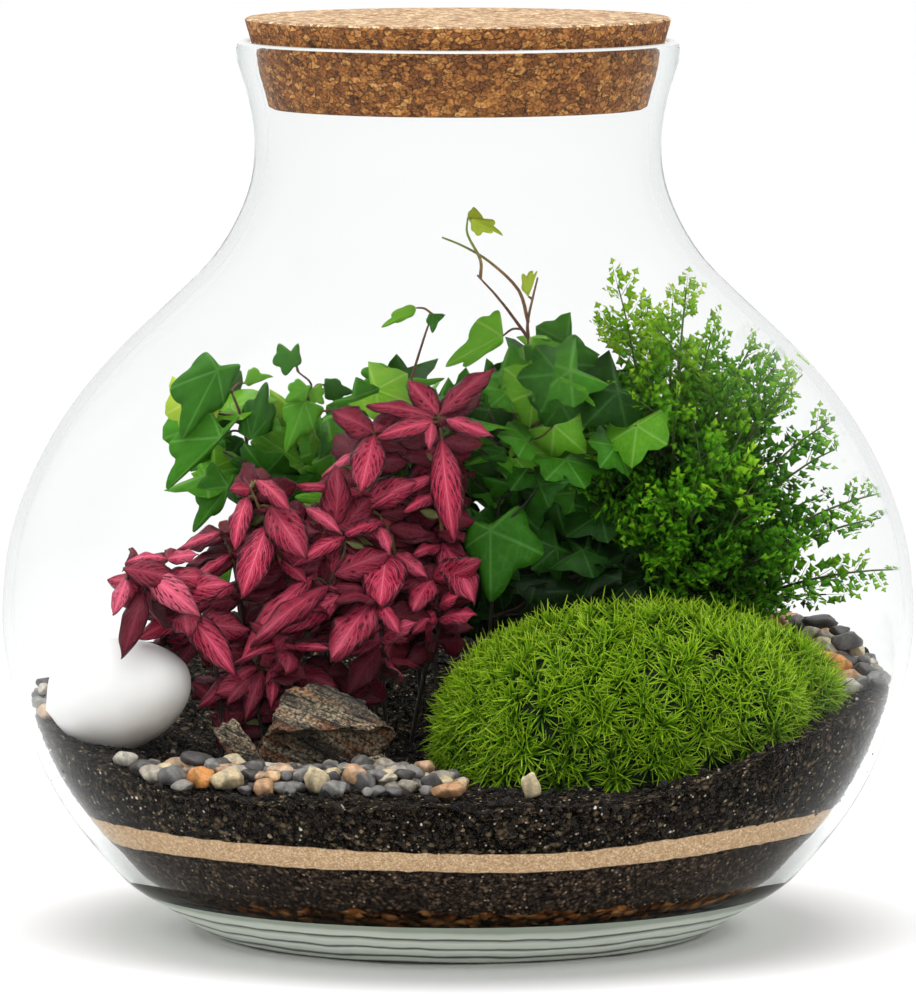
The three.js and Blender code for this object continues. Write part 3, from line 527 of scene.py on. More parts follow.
@dataclass(frozen=True)
class PressedCork(Finish):
    """Agglomerated cork, pressed and sawn: granules of many browns with dark gaps and pores."""

    granule: float = 2.6
    squash: float = 1.7
    stops: Stops = ()
    gap: str = "#3a2114"
    gap_width: float = 0.05
    roughness: float = 0.85

    def pattern(self, add: Adder) -> Inputs:
        """Colour each granule, and darken what lies between two of them."""
        place = add("TexCoord", (), "Object")
        bend = add("TexNoise", {"Vector": place, "Scale": per(3), "Detail": 3.0}, "Color")
        bent = add("VectorMath.MULTIPLY_ADD", (bend, (0.0022,) * 3, place))
        bent = add("VectorMath.MULTIPLY", (bent, (1.0, 1.0, self.squash)))
        scale = per(self.granule)
        cell = add("TexVoronoi", {"Vector": bent, "Scale": scale}, "Color")
        edge = add("TexVoronoi", {"Vector": bent, "Scale": scale}, feature="DISTANCE_TO_EDGE")
        colour = add("ValToRGB", (cell,), stops=self.stops)
        grain = add("TexNoise", {"Vector": place, "Scale": per(0.9), "Detail": 4.0})
        speck = add("MapRange", (grain, 0.36, 0.62, 0.45, 1.35))
        colour = add("Mix", {0: 1.0, 6: colour, 7: speck}, 2, **TIMES)
        pore = add("TexNoise", {"Vector": place, "Scale": per(3.4), "Detail": 3.0})
        width = add("MapRange", (pore, 0.4, 0.72, 0.0, self.gap_width * 2))
        inside = add("Math.SUBTRACT", (edge, width))
        inside = add("MapRange", (inside, -0.03, 0.04, 0.25, 1.0))
        colour = add("Mix", {0: inside, 6: linear(self.gap), 7: colour}, 2, **OVER)
        height = add("Math.ADD", (inside, grain))
        bump = add("Bump", {"Height": height, "Strength": 0.7, "Distance": 0.0005})
        return {"Base Color": colour, "Normal": bump}


@dataclass(frozen=True)
class LooseGrains(Finish):
    """A poured bed of grains, such as peat soil, sand or bark: each grain has its own shade."""

    grain: float = 2.0
    stops: Stops = ()
    relief: float = 0.9
    roughness: float = 0.95
    specular: float = 0.06
    speck: float = 0.0
    speck_colour: str = "#c9bca4"

    def pattern(self, add: Adder) -> Inputs:
        """Colour each grain and raise it; grains of a second, finer size lie between."""
        place = add("TexCoord", (), "Object")
        bend = add("TexNoise", {"Vector": place, "Scale": per(2 * self.grain)}, "Color")
        bent = add("VectorMath.MULTIPLY_ADD", (bend, (self.grain * MM * 0.8,) * 3, place))
        cells = {"Vector": bent, "Scale": per(self.grain)}
        shade = add("TexVoronoi", cells, "Color")
        round_off = add("TexVoronoi", cells)
        fine = {"Vector": place, "Scale": per(self.grain * 0.4)}
        fine_shade = add("TexVoronoi", fine, "Color")
        colour = add("ValToRGB", (shade,), stops=self.stops)
        fine_colour = add("ValToRGB", (fine_shade,), stops=self.stops)
        colour = add("Mix", {0: 0.4, 6: colour, 7: fine_colour}, 2, **OVER)
        gap = add("MapRange", (round_off, 0.3, 0.72, 1.0, 1 - self.relief * 0.85))
        colour = add("Mix", {0: 1.0, 6: colour, 7: gap}, 2, **TIMES)
        if self.speck:
            grit = {"Vector": bent, "Scale": per(self.speck)}
            drawn = add("TexVoronoi", grit, "Color")
            near = add("TexVoronoi", grit)
            chosen = add("MapRange", (drawn, 0.68, 0.74))
            dot = add("MapRange", (near, 0.14, 0.3, 0.85, 0.0))
            both = add("Math.MULTIPLY", (chosen, dot))
            colour = add("Mix", {0: both, 6: colour, 7: linear(self.speck_colour)}, 2, **OVER)
        bump = add(
            "Bump", {"Height": gap, "Strength": self.relief, "Distance": self.grain * MM * 0.5}
        )
        return {"Base Color": colour, "Normal": bump}


@dataclass(frozen=True)
class MarkedShade(Finish):
    """A finish whose shade each part of a piece carries as its own number, tone.

    What a second number, grow, adds runs from the root of a blade to its tip.
    """

    stops: Stops = ()
    grow: float = 0.0
    mottle: float = 0.25
    grain: float = 1.5
    relief: float = 0.2

    def pattern(self, add: Adder) -> Inputs:
        """Read the shade, mottle it, and give it a fine grain."""
        place = add("TexCoord", (), "Object")
        tone = add("Attribute", (), "Fac", attribute_name="tone")
        grain = add("TexNoise", {"Vector": place, "Scale": per(self.grain), "Detail": 3.0})
        if self.grow:
            step = add("Attribute", (), "Fac", attribute_name="grow")
            tone = add("Math.MULTIPLY_ADD", (step, self.grow, tone))
        colour = add("ValToRGB", (tone,), stops=self.stops)
        shade = add("MapRange", (grain, 0.3, 0.7, 1 - self.mottle, 1 + self.mottle))
        colour = add("Mix", {0: 1.0, 6: colour, 7: shade}, 2, **TIMES)
        bump = add(
            "Bump", {"Height": grain, "Strength": self.relief, "Distance": self.grain * MM * 0.3}
        )
        return {"Base Color": colour, "Normal": bump}


@dataclass(frozen=True)
class RiverPebble(MarkedShade):
    """River gravel, tumbled smooth: each pebble its own mineral, some with bands or spots."""

    def pattern(self, add: Adder) -> Inputs:
        """Lay faint bands and spots over the pebble's own colour."""
        given = super().pattern(add)
        place = add("TexCoord", (), "Object")
        tone = add("Attribute", (), "Fac", attribute_name="tone")
        tilt = add("CombineXYZ", (tone, tone, tone))
        spread = add("VectorMath.ADD", (place, tilt))
        bands = add(
            "TexWave", {"Vector": spread, "Scale": per(16), "Distortion": 7.0, "Detail": 3.0},
            "Color",
        )
        band = add("MapRange", (bands, 0.55, 0.95, 1.0, 0.66))
        spots = add("TexNoise", {"Vector": spread, "Scale": per(1.1), "Detail": 2.0})
        spot = add("MapRange", (spots, 0.6, 0.68, 1.0, 0.7))
        both = add("Math.MULTIPLY", (band, spot))
        given["Base Color"] = add("Mix", {0: 1.0, 6: given["Base Color"], 7: both}, 2, **TIMES)
        return given


@dataclass(frozen=True)
class WhiteMarble(Finish):
    """A marble cobble, tumbled and rubbed matt: nearly white, with painted shade to its lower
    right.
    """

    foot: float = 97.0  # the painted shade starts here, in millimetres, along its own way up and left
    rise: float = 26.0
    roughness: float = 0.55
    specular: float = 0.3

    def pattern(self, add: Adder) -> Inputs:
        """Paint shade on the stone towards its lower right, with a faint cloud in it."""
        place = add("TexCoord", (), "Object")
        cloud = add("TexNoise", {"Vector": place, "Scale": per(12), "Detail": 5.0})
        height = add("VectorMath.DOT_PRODUCT", (place, (-0.35, 0.0, 1.0)), "Value")
        height = add("Math.MULTIPLY_ADD", (cloud, 8 * MM, height))
        low = self.foot * MM
        share = add("MapRange", (height, low, low + self.rise * MM))
        stops = (
            (0, "#82776c"), (0.2, "#b5aca3"), (0.45, "#d9d5d0"), (0.75, "#e9e8e6"), (1, "#efeeed")
        )
        colour = add("ValToRGB", (share,), stops=stops)
        grain = add("TexNoise", {"Vector": place, "Scale": per(0.8), "Detail": 2.0})
        bump = add("Bump", {"Height": grain, "Strength": 0.12, "Distance": 0.0002})
        return {"Base Color": colour, "Normal": bump}


@dataclass(frozen=True)
class LayeredRock(Finish):
    """Banded schist, split along its layers: grey-brown beds with rust and pale quartz."""

    layer: float = 1.5
    roughness: float = 0.8

    def pattern(self, add: Adder) -> Inputs:
        """Stretch noise along the tilted beds, and stain it with rust."""
        place = add("TexCoord", (), "Object")
        turned_beds = add("Mapping", {"Vector": place, "Rotation": (0.35, -0.44, 0.2)})
        beds = add("VectorMath.MULTIPLY", (turned_beds, (per(11), per(7), per(self.layer))))
        layers = add("TexNoise", {"Vector": beds, "Scale": 1.0, "Detail": 8.0, "Roughness": 0.62})
        broad = add("TexNoise", {"Vector": beds, "Scale": 0.22, "Detail": 3.0})
        weather = add("MapRange", (broad, 0.4, 0.58, 0.3, 1.25))
        stops = (
            (0.3, "#050403"), (0.43, "#1e1813"), (0.49, "#97876c"), (0.525, "#241d17"),
            (0.585, "#a4947a"), (0.64, "#4a3e32"), (0.7, "#e6dac2"),
        )
        colour = add("ValToRGB", (layers,), stops=stops)
        drift = {"Vector": beds, "Scale": 0.45, "Detail": 4.0, "W": 3.0}
        stain = add("TexNoise", drift, noise_dimensions="4D")
        rust = add("MapRange", (stain, 0.52, 0.62, 0.0, 0.6))
        colour = add("Mix", {0: rust, 6: colour, 7: linear("#8a5630")}, 2, **OVER)
        fine = add("TexNoise", {"Vector": place, "Scale": per(0.9), "Detail": 5.0})
        speck = add("MapRange", (fine, 0.38, 0.62, 0.22, 1.75))
        speck = add("Math.MULTIPLY", (speck, weather))
        colour = add("Mix", {0: 1.0, 6: colour, 7: speck}, 2, **TIMES)
        height = add("Math.ADD", (layers, fine))
        bump = add("Bump", {"Height": height, "Strength": 1.0, "Distance": 0.0012})
        return {"Base Color": colour, "Normal": bump}


@dataclass(frozen=True)
class PinkLeaf(Finish):
    """A nerve plant's leaf, with a soft sheen: hot pink veins on dark blots, and a dark edge."""

    roughness: float = 0.45
    specular: float = 0.15
    veins: float = 7.0

    def pattern(self, add: Adder) -> Inputs:
        """Draw the veins, the blots between them and the edge from the leaf's own map."""
        chart = add("TexCoord", (), "UV")
        along = add("SeparateXYZ", (chart,), "X")
        side = add("SeparateXYZ", (chart,), "Y")
        side = add("Math.MULTIPLY_ADD", (side, 2.0, -1.0))
        side = add("Math.ABSOLUTE", (side,))
        tone = add("Attribute", (), "Fac", attribute_name="tone")
        swept = add("Math.MULTIPLY_ADD", (side, -0.48, along))
        flat = add("CombineXYZ", (along, side, tone))
        cloud = add("TexNoise", {"Vector": flat, "Scale": 2.6, "Detail": 3.0})
        swept = add("Math.MULTIPLY_ADD", (cloud, 0.16, swept))
        swept = add("Math.MULTIPLY", (swept, self.veins))
        vein = add("Math.PINGPONG", (swept, 0.5))
        # blots are long the way that the side veins run: 0.3 of a vein's gap wide
        shifted = add("CombineXYZ", (swept, side, tone))
        shifted = add("VectorMath.MULTIPLY", (shifted, (3.4, 7.0, 9.0)))
        blots = add("TexNoise", {"Vector": shifted, "Scale": 1.0, "Detail": 2.0})
        dash = add("MapRange", (vein, 0.06, 0.2))
        zone = add("MapRange", (side, 0.1, 0.3))
        blot = add("MapRange", (blots, 0.5, 0.56, 0.0, 0.9))
        for other in (zone, blot):
            dash = add("Math.MULTIPLY", (dash, other))
        stops = (
            (0, "#dd7489"), (0.05, "#c83c5a"), (0.4, "#b22547"), (0.8, "#971c3b"),
            (0.87, "#45101b"), (0.92, "#170b06"),
        )
        colour = add("ValToRGB", (side,), stops=stops)
        # sunlit leaf, paler clouds, side veins, blots, leaf in the shade, young green leaf
        for source, low, high, least, most, shade in (
            (tone, 0.65, 1.0, 0.0, 0.42, "#ea7690"), (cloud, 0.42, 0.68, 0.0, 0.4, "#d9607c"),
            (vein, 0.02, 0.12, 0.3, 0.0, "#de7a8f"), (dash, 0.0, 1.0, 0.0, 1.0, "#3a0713"),
            (tone, 0.0, 0.6, 0.9, 0.0, "#3c0a14"), (tone, 1.2, 1.8, 0.0, 1.0, "#557a3a"),
        ):
            share = add("MapRange", (source, low, high, least, most))
            colour = add("Mix", {0: share, 6: colour, 7: linear(shade)}, 2, **OVER)
        height = add("Math.ADD", (vein, blots))
        bump = add("Bump", {"Height": height, "Strength": 0.3, "Distance": 0.0005})
        return {"Base Color": colour, "Normal": bump}


@dataclass(frozen=True)
class IvyBlade(Finish):
    """An ivy leaf, waxy: green with pale ribs that fan from the stalk to the five lobes."""

    roughness: float = 0.42
    specular: float = 0.12
    ribs: tuple[Point, ...] = ((0.0, 1.0), (0.86, 0.5), (0.8, -0.6))

    def pattern(self, add: Adder) -> Inputs:
        """Draw the ribs and the fine veins from the leaf's own map, whose middle is the stalk."""
        chart = add("TexCoord", (), "UV")
        spot = add("VectorMath.MULTIPLY_ADD", (chart, (2.0, 2.0, 0.0), (-1.0, -1.0, 0.0)))
        x = add("SeparateXYZ", (spot,), "X")
        y = add("SeparateXYZ", (spot,), "Y")
        x = add("Math.ABSOLUTE", (x,))
        spot = add("CombineXYZ", (x, y))
        near = None
        for rib_x, rib_y in self.ribs:
            off = add("VectorMath.DOT_PRODUCT", (spot, (rib_y, -rib_x, 0.0)), "Value")
            off = add("Math.ABSOLUTE", (off,))
            near = off if near is None else add("Math.MINIMUM", (near, off))
        rib = add("MapRange", (near, 0.012, 0.045, 1.0, 0.0))
        net = add("TexVoronoi", {"Vector": spot, "Scale": 6.0}, feature="DISTANCE_TO_EDGE")
        fine = add("MapRange", (net, 0.0, 0.07, 0.4, 0.0))
        veins = add("Math.MAXIMUM", (rib, fine))
        tone = add("Attribute", (), "Fac", attribute_name="tone")
        cloud = add("TexNoise", {"Vector": spot, "Scale": 2.5, "Detail": 3.0})
        tone = add("Math.MULTIPLY_ADD", (cloud, 0.2, tone))
        leaf = (
            (0.1, "#081e03"), (0.35, "#205509"), (0.6, "#428b13"), (0.8, "#6bac20"), (1, "#adc43a")
        )
        pale = ((0.1, "#24501c"), (0.35, "#4f8a38"), (0.6, "#7fb357"), (1, "#cbd873"))
        colour = add("ValToRGB", (tone,), stops=leaf)
        lines = add("ValToRGB", (tone,), stops=pale)
        share = add("Math.MULTIPLY", (veins, 0.48))
        colour = add("Mix", {0: share, 6: colour, 7: lines}, 2, **OVER)
        bump = add("Bump", {"Height": veins, "Strength": 0.25, "Distance": 0.0004}, invert=True)
        return {"Base Color": colour, "Normal": bump}


@dataclass(frozen=True)
class PaperSweep(Finish):
    """A studio's white paper, greyer under the lamps, so that it looks evenly white."""

    roughness: float = 0.9
    specular: float = 0.05

    def pattern(self, add: Adder) -> Inputs:
        """Shade the paper by how far it lies from the vase."""
        place = add("TexCoord", (), "Object")
        far = add("VectorMath.LENGTH", (place,), "Value")
        share = add("MapRange", (far, 0.0, 4.0))
        stops = (
            (0.0, "#f7f7f7"), (0.09, "#ededed"), (0.17, "#d9d9d9"), (0.3, "#dcdcdc"),
            (0.5, "#f0f0f0"), (0.75, "#fbfbfb"), (1.0, "#ffffff"),
        )
        return {"Base Color": add("ValToRGB", (share,), stops=stops)}


@dataclass(frozen=True)
class PlainPaint(Finish):
    """One colour all over, such as the lip's painted highlight."""

    colour: str = "#ffffff"

    def pattern(self, add: Adder) -> Inputs:
        """Return the colour."""
        return {"Base Color": linear(self.colour)}


GLASS = ClearGlass("clear_blown_glass", roughness=0.0)
FOOT_LIGHT = PaintedFootLight("glass_foot_painted_light")
# the lip's top is a painted highlight: the fire-polished lip catches the light all round, drawn
# closed as a thin pale line
LIP_HIGHLIGHT = PlainPaint("lip_painted_highlight", roughness=0.15, specular=0.5, colour="#c6cac8")
CORK_SIDE = PressedCork(
    "pressed_cork_side",
    stops=(
        (0.22, "#7b4a22"), (0.45, "#99602c"), (0.6, "#aa6f35"), (0.75, "#b67a3a"), (0.87, "#c78f4f")
    ),
    gap="#261105", gap_width=0.06,
)
# the top's paler cork is partly painted light, where the lamp overhead falls on it
CORK_LIT_TOP = PressedCork(
    "pressed_cork_lit_top", granule=2.2,
    stops=(
        (0.22, "#8c6742"), (0.4, "#b08d66"), (0.6, "#c1a27c"), (0.75, "#cbae88"), (0.85, "#dcc39f")
    ),
    gap="#7d5733",
)
SOIL_SHADES = (
    (0.25, "#020201"), (0.45, "#090705"), (0.56, "#120e0b"), (0.66, "#261e17"), (0.76, "#4a3b2b"),
    (0.86, "#7f6f55"),
)
SOIL = LooseGrains("peat_soil", grain=1.7, stops=SOIL_SHADES, speck=1.5)
LOW_SOIL = LooseGrains(
    "leaf_mould", grain=1.3,
    stops=(
        (0.25, "#0f0c0a"), (0.5, "#2a221d"), (0.62, "#3d322b"), (0.75, "#544538"), (0.86, "#7c654d")
    ),
    speck=1.5, speck_colour="#b9a284",
)
SAND = LooseGrains(
    "washed_sand", grain=0.7,
    stops=((0.15, "#a8835c"), (0.45, "#cba780"), (0.7, "#d9b993"), (0.92, "#ecd6b8")), relief=0.35,
)
BARK = LooseGrains(
    "bark_chips", grain=4.2,
    stops=(
        (0.25, "#120a05"), (0.45, "#3a200f"), (0.58, "#6e401d"), (0.7, "#995c2b"), (0.85, "#c08a52")
    ),
)
CRUMBS = MarkedShade(
    "soil_crumbs", roughness=0.9, specular=0.3,
    stops=(
        (0, "#060504"), (0.4, "#13100d"), (0.7, "#241b15"), (0.85, "#4a3826"), (0.95, "#8f7656"),
        (1, "#d9d2c4"),
    ),
)
PEBBLE = RiverPebble(
    "river_pebble", roughness=0.5,
    stops=(
        (0, "#2f2c2a"), (0.12, "#595553"), (0.25, "#7d7b78"), (0.38, "#9a9080"), (0.5, "#b9b2a4"),
        (0.6, "#c9b792"), (0.7, "#cf8a43"), (0.8, "#b18a75"), (0.9, "#b98c62"), (1, "#d4cab8"),
    ),
    mottle=0.24, grain=1.1,
)
MARBLE = WhiteMarble("white_marble")
ROCK = LayeredRock("banded_schist")
NERVE_TOP = PinkLeaf("nerve_leaf_upper_side")
NERVE_UNDER = MarkedShade(
    "nerve_leaf_underside", roughness=0.6, stops=((0, "#2c1012"), (0.6, "#6e2f3a"), (1, "#95575a"))
)
NERVE_STEM = MarkedShade(
    "nerve_plant_stem", roughness=0.6, stops=(
        (0, "#120c07"), (0.4, "#2c1f12"), (0.7, "#57431f"), (1, "#7d6a3a")
    )
)
IVY_LEAF = IvyBlade("waxy_ivy_blade")
IVY_STEM = MarkedShade(
    "ivy_stem", roughness=0.6, stops=(
        (0, "#180e09"), (0.35, "#3c2319"), (0.6, "#6e4330"), (0.8, "#8a6a3c"), (1, "#7d9440")
    )
)
FERN_GREEN = MarkedShade(
    "fern_leaflet", roughness=0.5, specular=0.06,
    stops=((0, "#061902"), (0.25, "#245706"), (0.5, "#50940c"), (0.75, "#88bd1e"), (1, "#b6d646")),
    grow=0.25,
)
FERN_STEM = MarkedShade(
    "fern_wiry_stem", roughness=0.6, stops=((0, "#140e08"), (0.5, "#272910"), (1, "#5b7424"))
)
MOSS_GREEN = MarkedShade(
    "cushion_moss", roughness=0.5, specular=0.08,
    stops=((0, "#0a1802"), (0.25, "#2a4e04"), (0.5, "#5e8a08"), (0.75, "#8fb51a"), (1, "#bcd74c")),
    grow=0.85, mottle=0.1,
)
PAPER = PaperSweep("studio_paper")


# ---- the vase, its stopper and what is poured into it ----


@dataclass
class Vase:
    """The blown vase: a wide bulb on a thick foot, a short neck and a folded lip."""

    sides: int = 160
    foot: tuple[Point, ...] = ((2, 2.5), (40, 1.6), (58, 0.2), (66, 0), (75, 0), (81, 1.8))
    bulb: tuple[Point, ...] = (
        (91, 8.3), (101.5, 14.6), (108.4, 20.9), (118.9, 33.5), (127, 46.1), (132.6, 58.7),
        (137, 71.2), (140.3, 83.8), (141.8, 96.3), (141.3, 108.9), (139.5, 121.4), (135.9, 133.9),
        (130.4, 146.4), (123.3, 158.9), (114.1, 171.4), (102.6, 183.8), (89.2, 196.3),
        (76.8, 208.7), (68.8, 221.1), (64.1, 233.6), (63, 246), (64.7, 258.4), (68.4, 270.7),
    )
    lip: tuple[Point, ...] = ((68.6, 274.6), (68, 276.3), (66.6, 276.9), (65, 276.4), (64, 274.6))
    wall: tuple[Point, ...] = ((24, 4.2), (60, 3.3), (200, 3.2), (232, 3.9), (271, 4.4))
    floor: tuple[Point, ...] = (
        (104.6, 23.4), (100, 18.6), (93, 14), (84, 10.7), (74, 9.2), (60, 9), (2, 9)
    )
    foot_top: float = 15.2
    lip_edge: float = 276.0
    inner: list[Vector] = field(default_factory=list)

    def __post_init__(self) -> None:
        """Set the inner wall off from the outer one."""
        outer = smooth_line(self.bulb, 3)
        for before, here, after in zip(outer, outer[1:], outer[2:]):
            along = (after - before).normalized()
            if here.y > 27:
                depth = read_rows(self.wall, here.y)
                self.inner.append(here + Vector((-along.y, along.x)) * depth)

    def inner_radius(self, height: float) -> float:
        """Return the inner wall's radius at a height."""
        low = [(z, r) for r, z in reversed(self.floor[:-1])]
        return read_rows([*low, *((p.y, p.x) for p in self.inner)], height)

    def held(self, at: Vector, gap: float) -> Vector:
        """Draw a place back from the glass where it comes nearer than a gap, and return it."""
        limit = self.inner_radius(at.z) - gap
        if at.xy.length > limit:
            at.xy = at.xy.normalized() * limit
        return at

    def build(self) -> None:
        """Turn the vase in one piece, from the middle of its underside round to its inner floor."""
        outer = smooth_line((*self.foot, *self.bulb), 3)
        inner = [*smooth_line(self.lip, 5), *reversed(self.inner), *self.floor]
        rings = [tuple(p) for p in [*outer, *inner]]
        vase = turned("vase_glass", rings, self.sides)
        dress(vase, ["glass_vase"], [GLASS, FOOT_LIGHT, LIP_HIGHLIGHT])
        for face in vase.data.polygons:
            low = face.center.z < self.foot_top * MM
            outside = face.center.xy.length > 80 * MM > 9 * face.center.z
            # the low faces of the foot take its painted light and shade
            if low and (outside or face.normal.z < -0.2):
                face.material_index = 1
            # faces above the lip's edge take its painted highlight
            elif face.center.z > self.lip_edge * MM:
                face.material_index = 2


@dataclass
class Stopper:
    """The tapered cork that rests in the neck: its sawn sides show the granules."""

    low: float = 256.2
    top: float = 284.0
    narrow: float = 58.7
    wide: float = 66.0
    sides: int = 240
    levels: int = 26

    def build(self) -> None:
        """Turn a cone with rings close enough to be roughened, and pit its side."""
        rings: list[Point] = [(1, self.low), (30, self.low), (self.narrow - 1.4, self.low)]
        for level in range(self.levels + 1):
            share = level / self.levels
            height = self.low + 0.8 + (self.top - self.low - 1.4) * share
            rings.append((self.narrow + (self.wide - self.narrow) * share, height))
        edge = self.wide - 0.8
        rings += [(edge * (1 - k / 12), self.top) for k in range(12)]
        cork = turned("cork_body", [*rings, (1, self.top)], self.sides)

        def pitted(p: Vector) -> Vector:
            """Press pores into the side and leave the top nearly flat."""
            pit = max(0.0, rough(p, 2.6) - 0.12) * 1.5 + abs(rough(p, 1.4, 5)) * 0.3
            pit *= smooth_step((self.top + 0.6 - p.z) / 2)
            if p.z > self.top - 0.1:
                return p - UP * pit * 0.25
            out = Vector((p.x, p.y, 0)).normalized()
            return p - out * pit if p.z > self.low + 0.4 else p

        reshape(cork, pitted)
        dress(cork, ["cork_stopper"], [CORK_SIDE, CORK_LIT_TOP], crease=40)
        # the top faces take the paler cork, partly painted light from the lamp overhead
        for face in cork.data.polygons:
            if face.center.z > (self.top - 0.5) * MM and face.normal.z > 0.7:
                face.material_index = 1


class Layer(Enum):
    """The beds, from the floor up: piece, node, slot, finish and how far their tops rise."""

    BARK = ("bed_of_bark", "drainage_layer", "drainage", BARK, 18.8)
    LOW_SOIL = ("bed_of_leaf_mould", "lower_soil", "soil", LOW_SOIL, 33.3)
    SAND = ("bed_of_sand", "sand_band", "sand", SAND, 40.3)
    TOP_SOIL = ("bed_of_peat", "upper_soil", "soil", SOIL, 0.0)


@dataclass
class Ground:
    """The lie of the top soil: it climbs to the back and the right, and a little to the left."""

    low: float = 54.0
    back_rise: float = 30.0
    back_dip: float = 8.0
    right_rise: float = 22.0
    left_rise: float = 14.0

    def plain(self, x: float, y: float) -> float:
        """Return the height of the raked soil, without its lumps."""
        back = smooth_step((y + 5) / 110)
        front = smooth_step((y + 110) / 90)
        left = self.left_rise * front * smooth_step((-x - 55) / 75)
        right = self.right_rise * smooth_step((x - 45) / 90)
        rise = self.back_rise - self.back_dip * smooth_step((-x - 20) / 80)
        return self.low + rise * back + (1 - 0.6 * back) * (left + right)

    def height(self, x: float, y: float) -> float:
        """Return the height of the soil with its lumps."""
        at = Vector((x, y, 0))
        return self.plain(x, y) + 1.7 * rough(at, 11) + 1.1 * rough(at, 4.3, 3) - 0.3


@dataclass
class Beds:
    """The poured beds, each pressed against the glass, with uneven seams between them."""

    vase: Vase
    ground: Ground
    sides: int = 240
    gap: float = 0.35
    first_height: float = 9.3
    crumb_counts: tuple[int, int] = (2800, 2600)

    def seam(self, layer_top: float, x: float, y: float) -> float:
        """Return how far the top of a bed waves up or down."""
        turn = math.atan2(y, x)
        at = (heading(turn) + UP * layer_top) * 30
        fine = Vector((x, y, layer_top))
        tilt = 2.8 * smooth_step((x - 20) / 80) if layer_top > 30 else 0.0
        heaped = 0.5 * rough(fine, 3)
        if layer_top < 20:
            heaped = 2.4 * rough(fine, 5, 2) + 2.2 * smooth_step((x - 75) / 20)
        return tilt + 1.3 * rough(at, 14) + heaped

    def wall(self, height: float) -> float:
        """Return the radius of a bed at a height."""
        return self.vase.inner_radius(height) - self.gap

    def bed(self, layer: Layer, floor: float) -> None:
        """Turn one bed as a drum, then press it into its place.

        Args:
            layer: Which bed.
            floor: The height of the seam below it.
        """
        name, node, slot, finish, top = layer.value
        steps, rings = (22, 48) if layer is Layer.TOP_SOIL else (12, 10)
        drum: list[Point] = [(2, 0), (60, 0), (100, 0)]
        drum += [(100, step / steps) for step in range(1, steps + 1)]
        drum += [(100 * (1 - (k / rings) ** 1.3), 1) for k in range(1, rings)]
        bed = turned(name, [*drum, (0.3, 1)], self.sides)

        def pressed(p: Vector) -> Vector:
            """Stretch the drum between its seams and out to the glass."""
            share = math.hypot(p.x, p.y) / 100
            out = Vector((p.x, p.y, 0)).normalized()
            radius = 110.0
            for _ in range(4):
                at = out * radius * share
                low = floor + (self.seam(floor, *at.xy) if floor > 10 else 0)
                high = top + self.seam(top, *at.xy) if top else self.ground.height(*at.xy)
                height = low + (high - low) * p.z
                radius = self.wall(height)
            at = out * radius * share + UP * height
            if share > 0.99:
                at -= out * (0.25 + 0.5 * rough(at, 2.4))
            return at

        reshape(bed, pressed)
        dress(bed, [node], [finish])

    def crumbs(self) -> None:
        """Strew crumbs of peat, bark and grit on the top soil and against the glass."""
        draw = Draws(7741)
        models = []
        for seed in range(4):
            model = start("ico_sphere", f"crumb_{seed}", subdivisions=1, radius=1)
            models.append(reshape(model, lambda p: p * (1 + 0.7 * rough(p, 0.9, seed * 7))))
        pieces = []
        on_top, at_wall = self.crumb_counts
        for i in range(on_top + at_wall):
            turn = draw.between(0, 2 * math.pi)
            out = heading(turn)
            size = 0.45 + 1.25 * draw.unit() ** 2
            if i < on_top:
                at = out * 126 * math.sqrt(draw.unit())
                at.z = self.ground.height(at.x, at.y) + size * 0.3
                limit = self.wall(at.z) - size * 1.2
                if at.xy.length > limit:
                    at = out * limit + UP * at.z
            else:
                rim = out * 130
                ceiling = self.ground.height(rim.x, rim.y)
                height = 43 + (ceiling - 43) * draw.unit()
                size *= 0.8
                at = out * (self.wall(height) - size * 0.75) + UP * height
            long = draw.between(2, 3.6) if draw.unit() > 0.9 else draw.between(0.8, 1.3)
            along = draw.direction()
            if long > 2:
                along = (along - out * along.dot(out) * 0.8).normalized()
            across, face = facing(along, draw.direction())
            tone = 0.7 * draw.unit() + (0.28 if draw.unit() > 0.93 else 0)
            if draw.unit() > 0.985:
                tone = 1.0
                size = 0.5
            wide = size * (0.6 if long > 2 else 1)
            along = along * wide * long
            pieces.append(stamp(models[i % 4], at, along, across * wide, face * wide, tone=tone))
        thrown_away(*models)
        dress(joined("soil_crumbs", pieces), [], [CRUMBS], crease=50)

    def build(self) -> None:
        """Pour the beds from the floor up, and strew the crumbs."""
        floor = self.first_height
        for layer in Layer:
            self.bed(layer, floor)
            floor = layer.value[4]
        self.crumbs()


# ---- stones ----


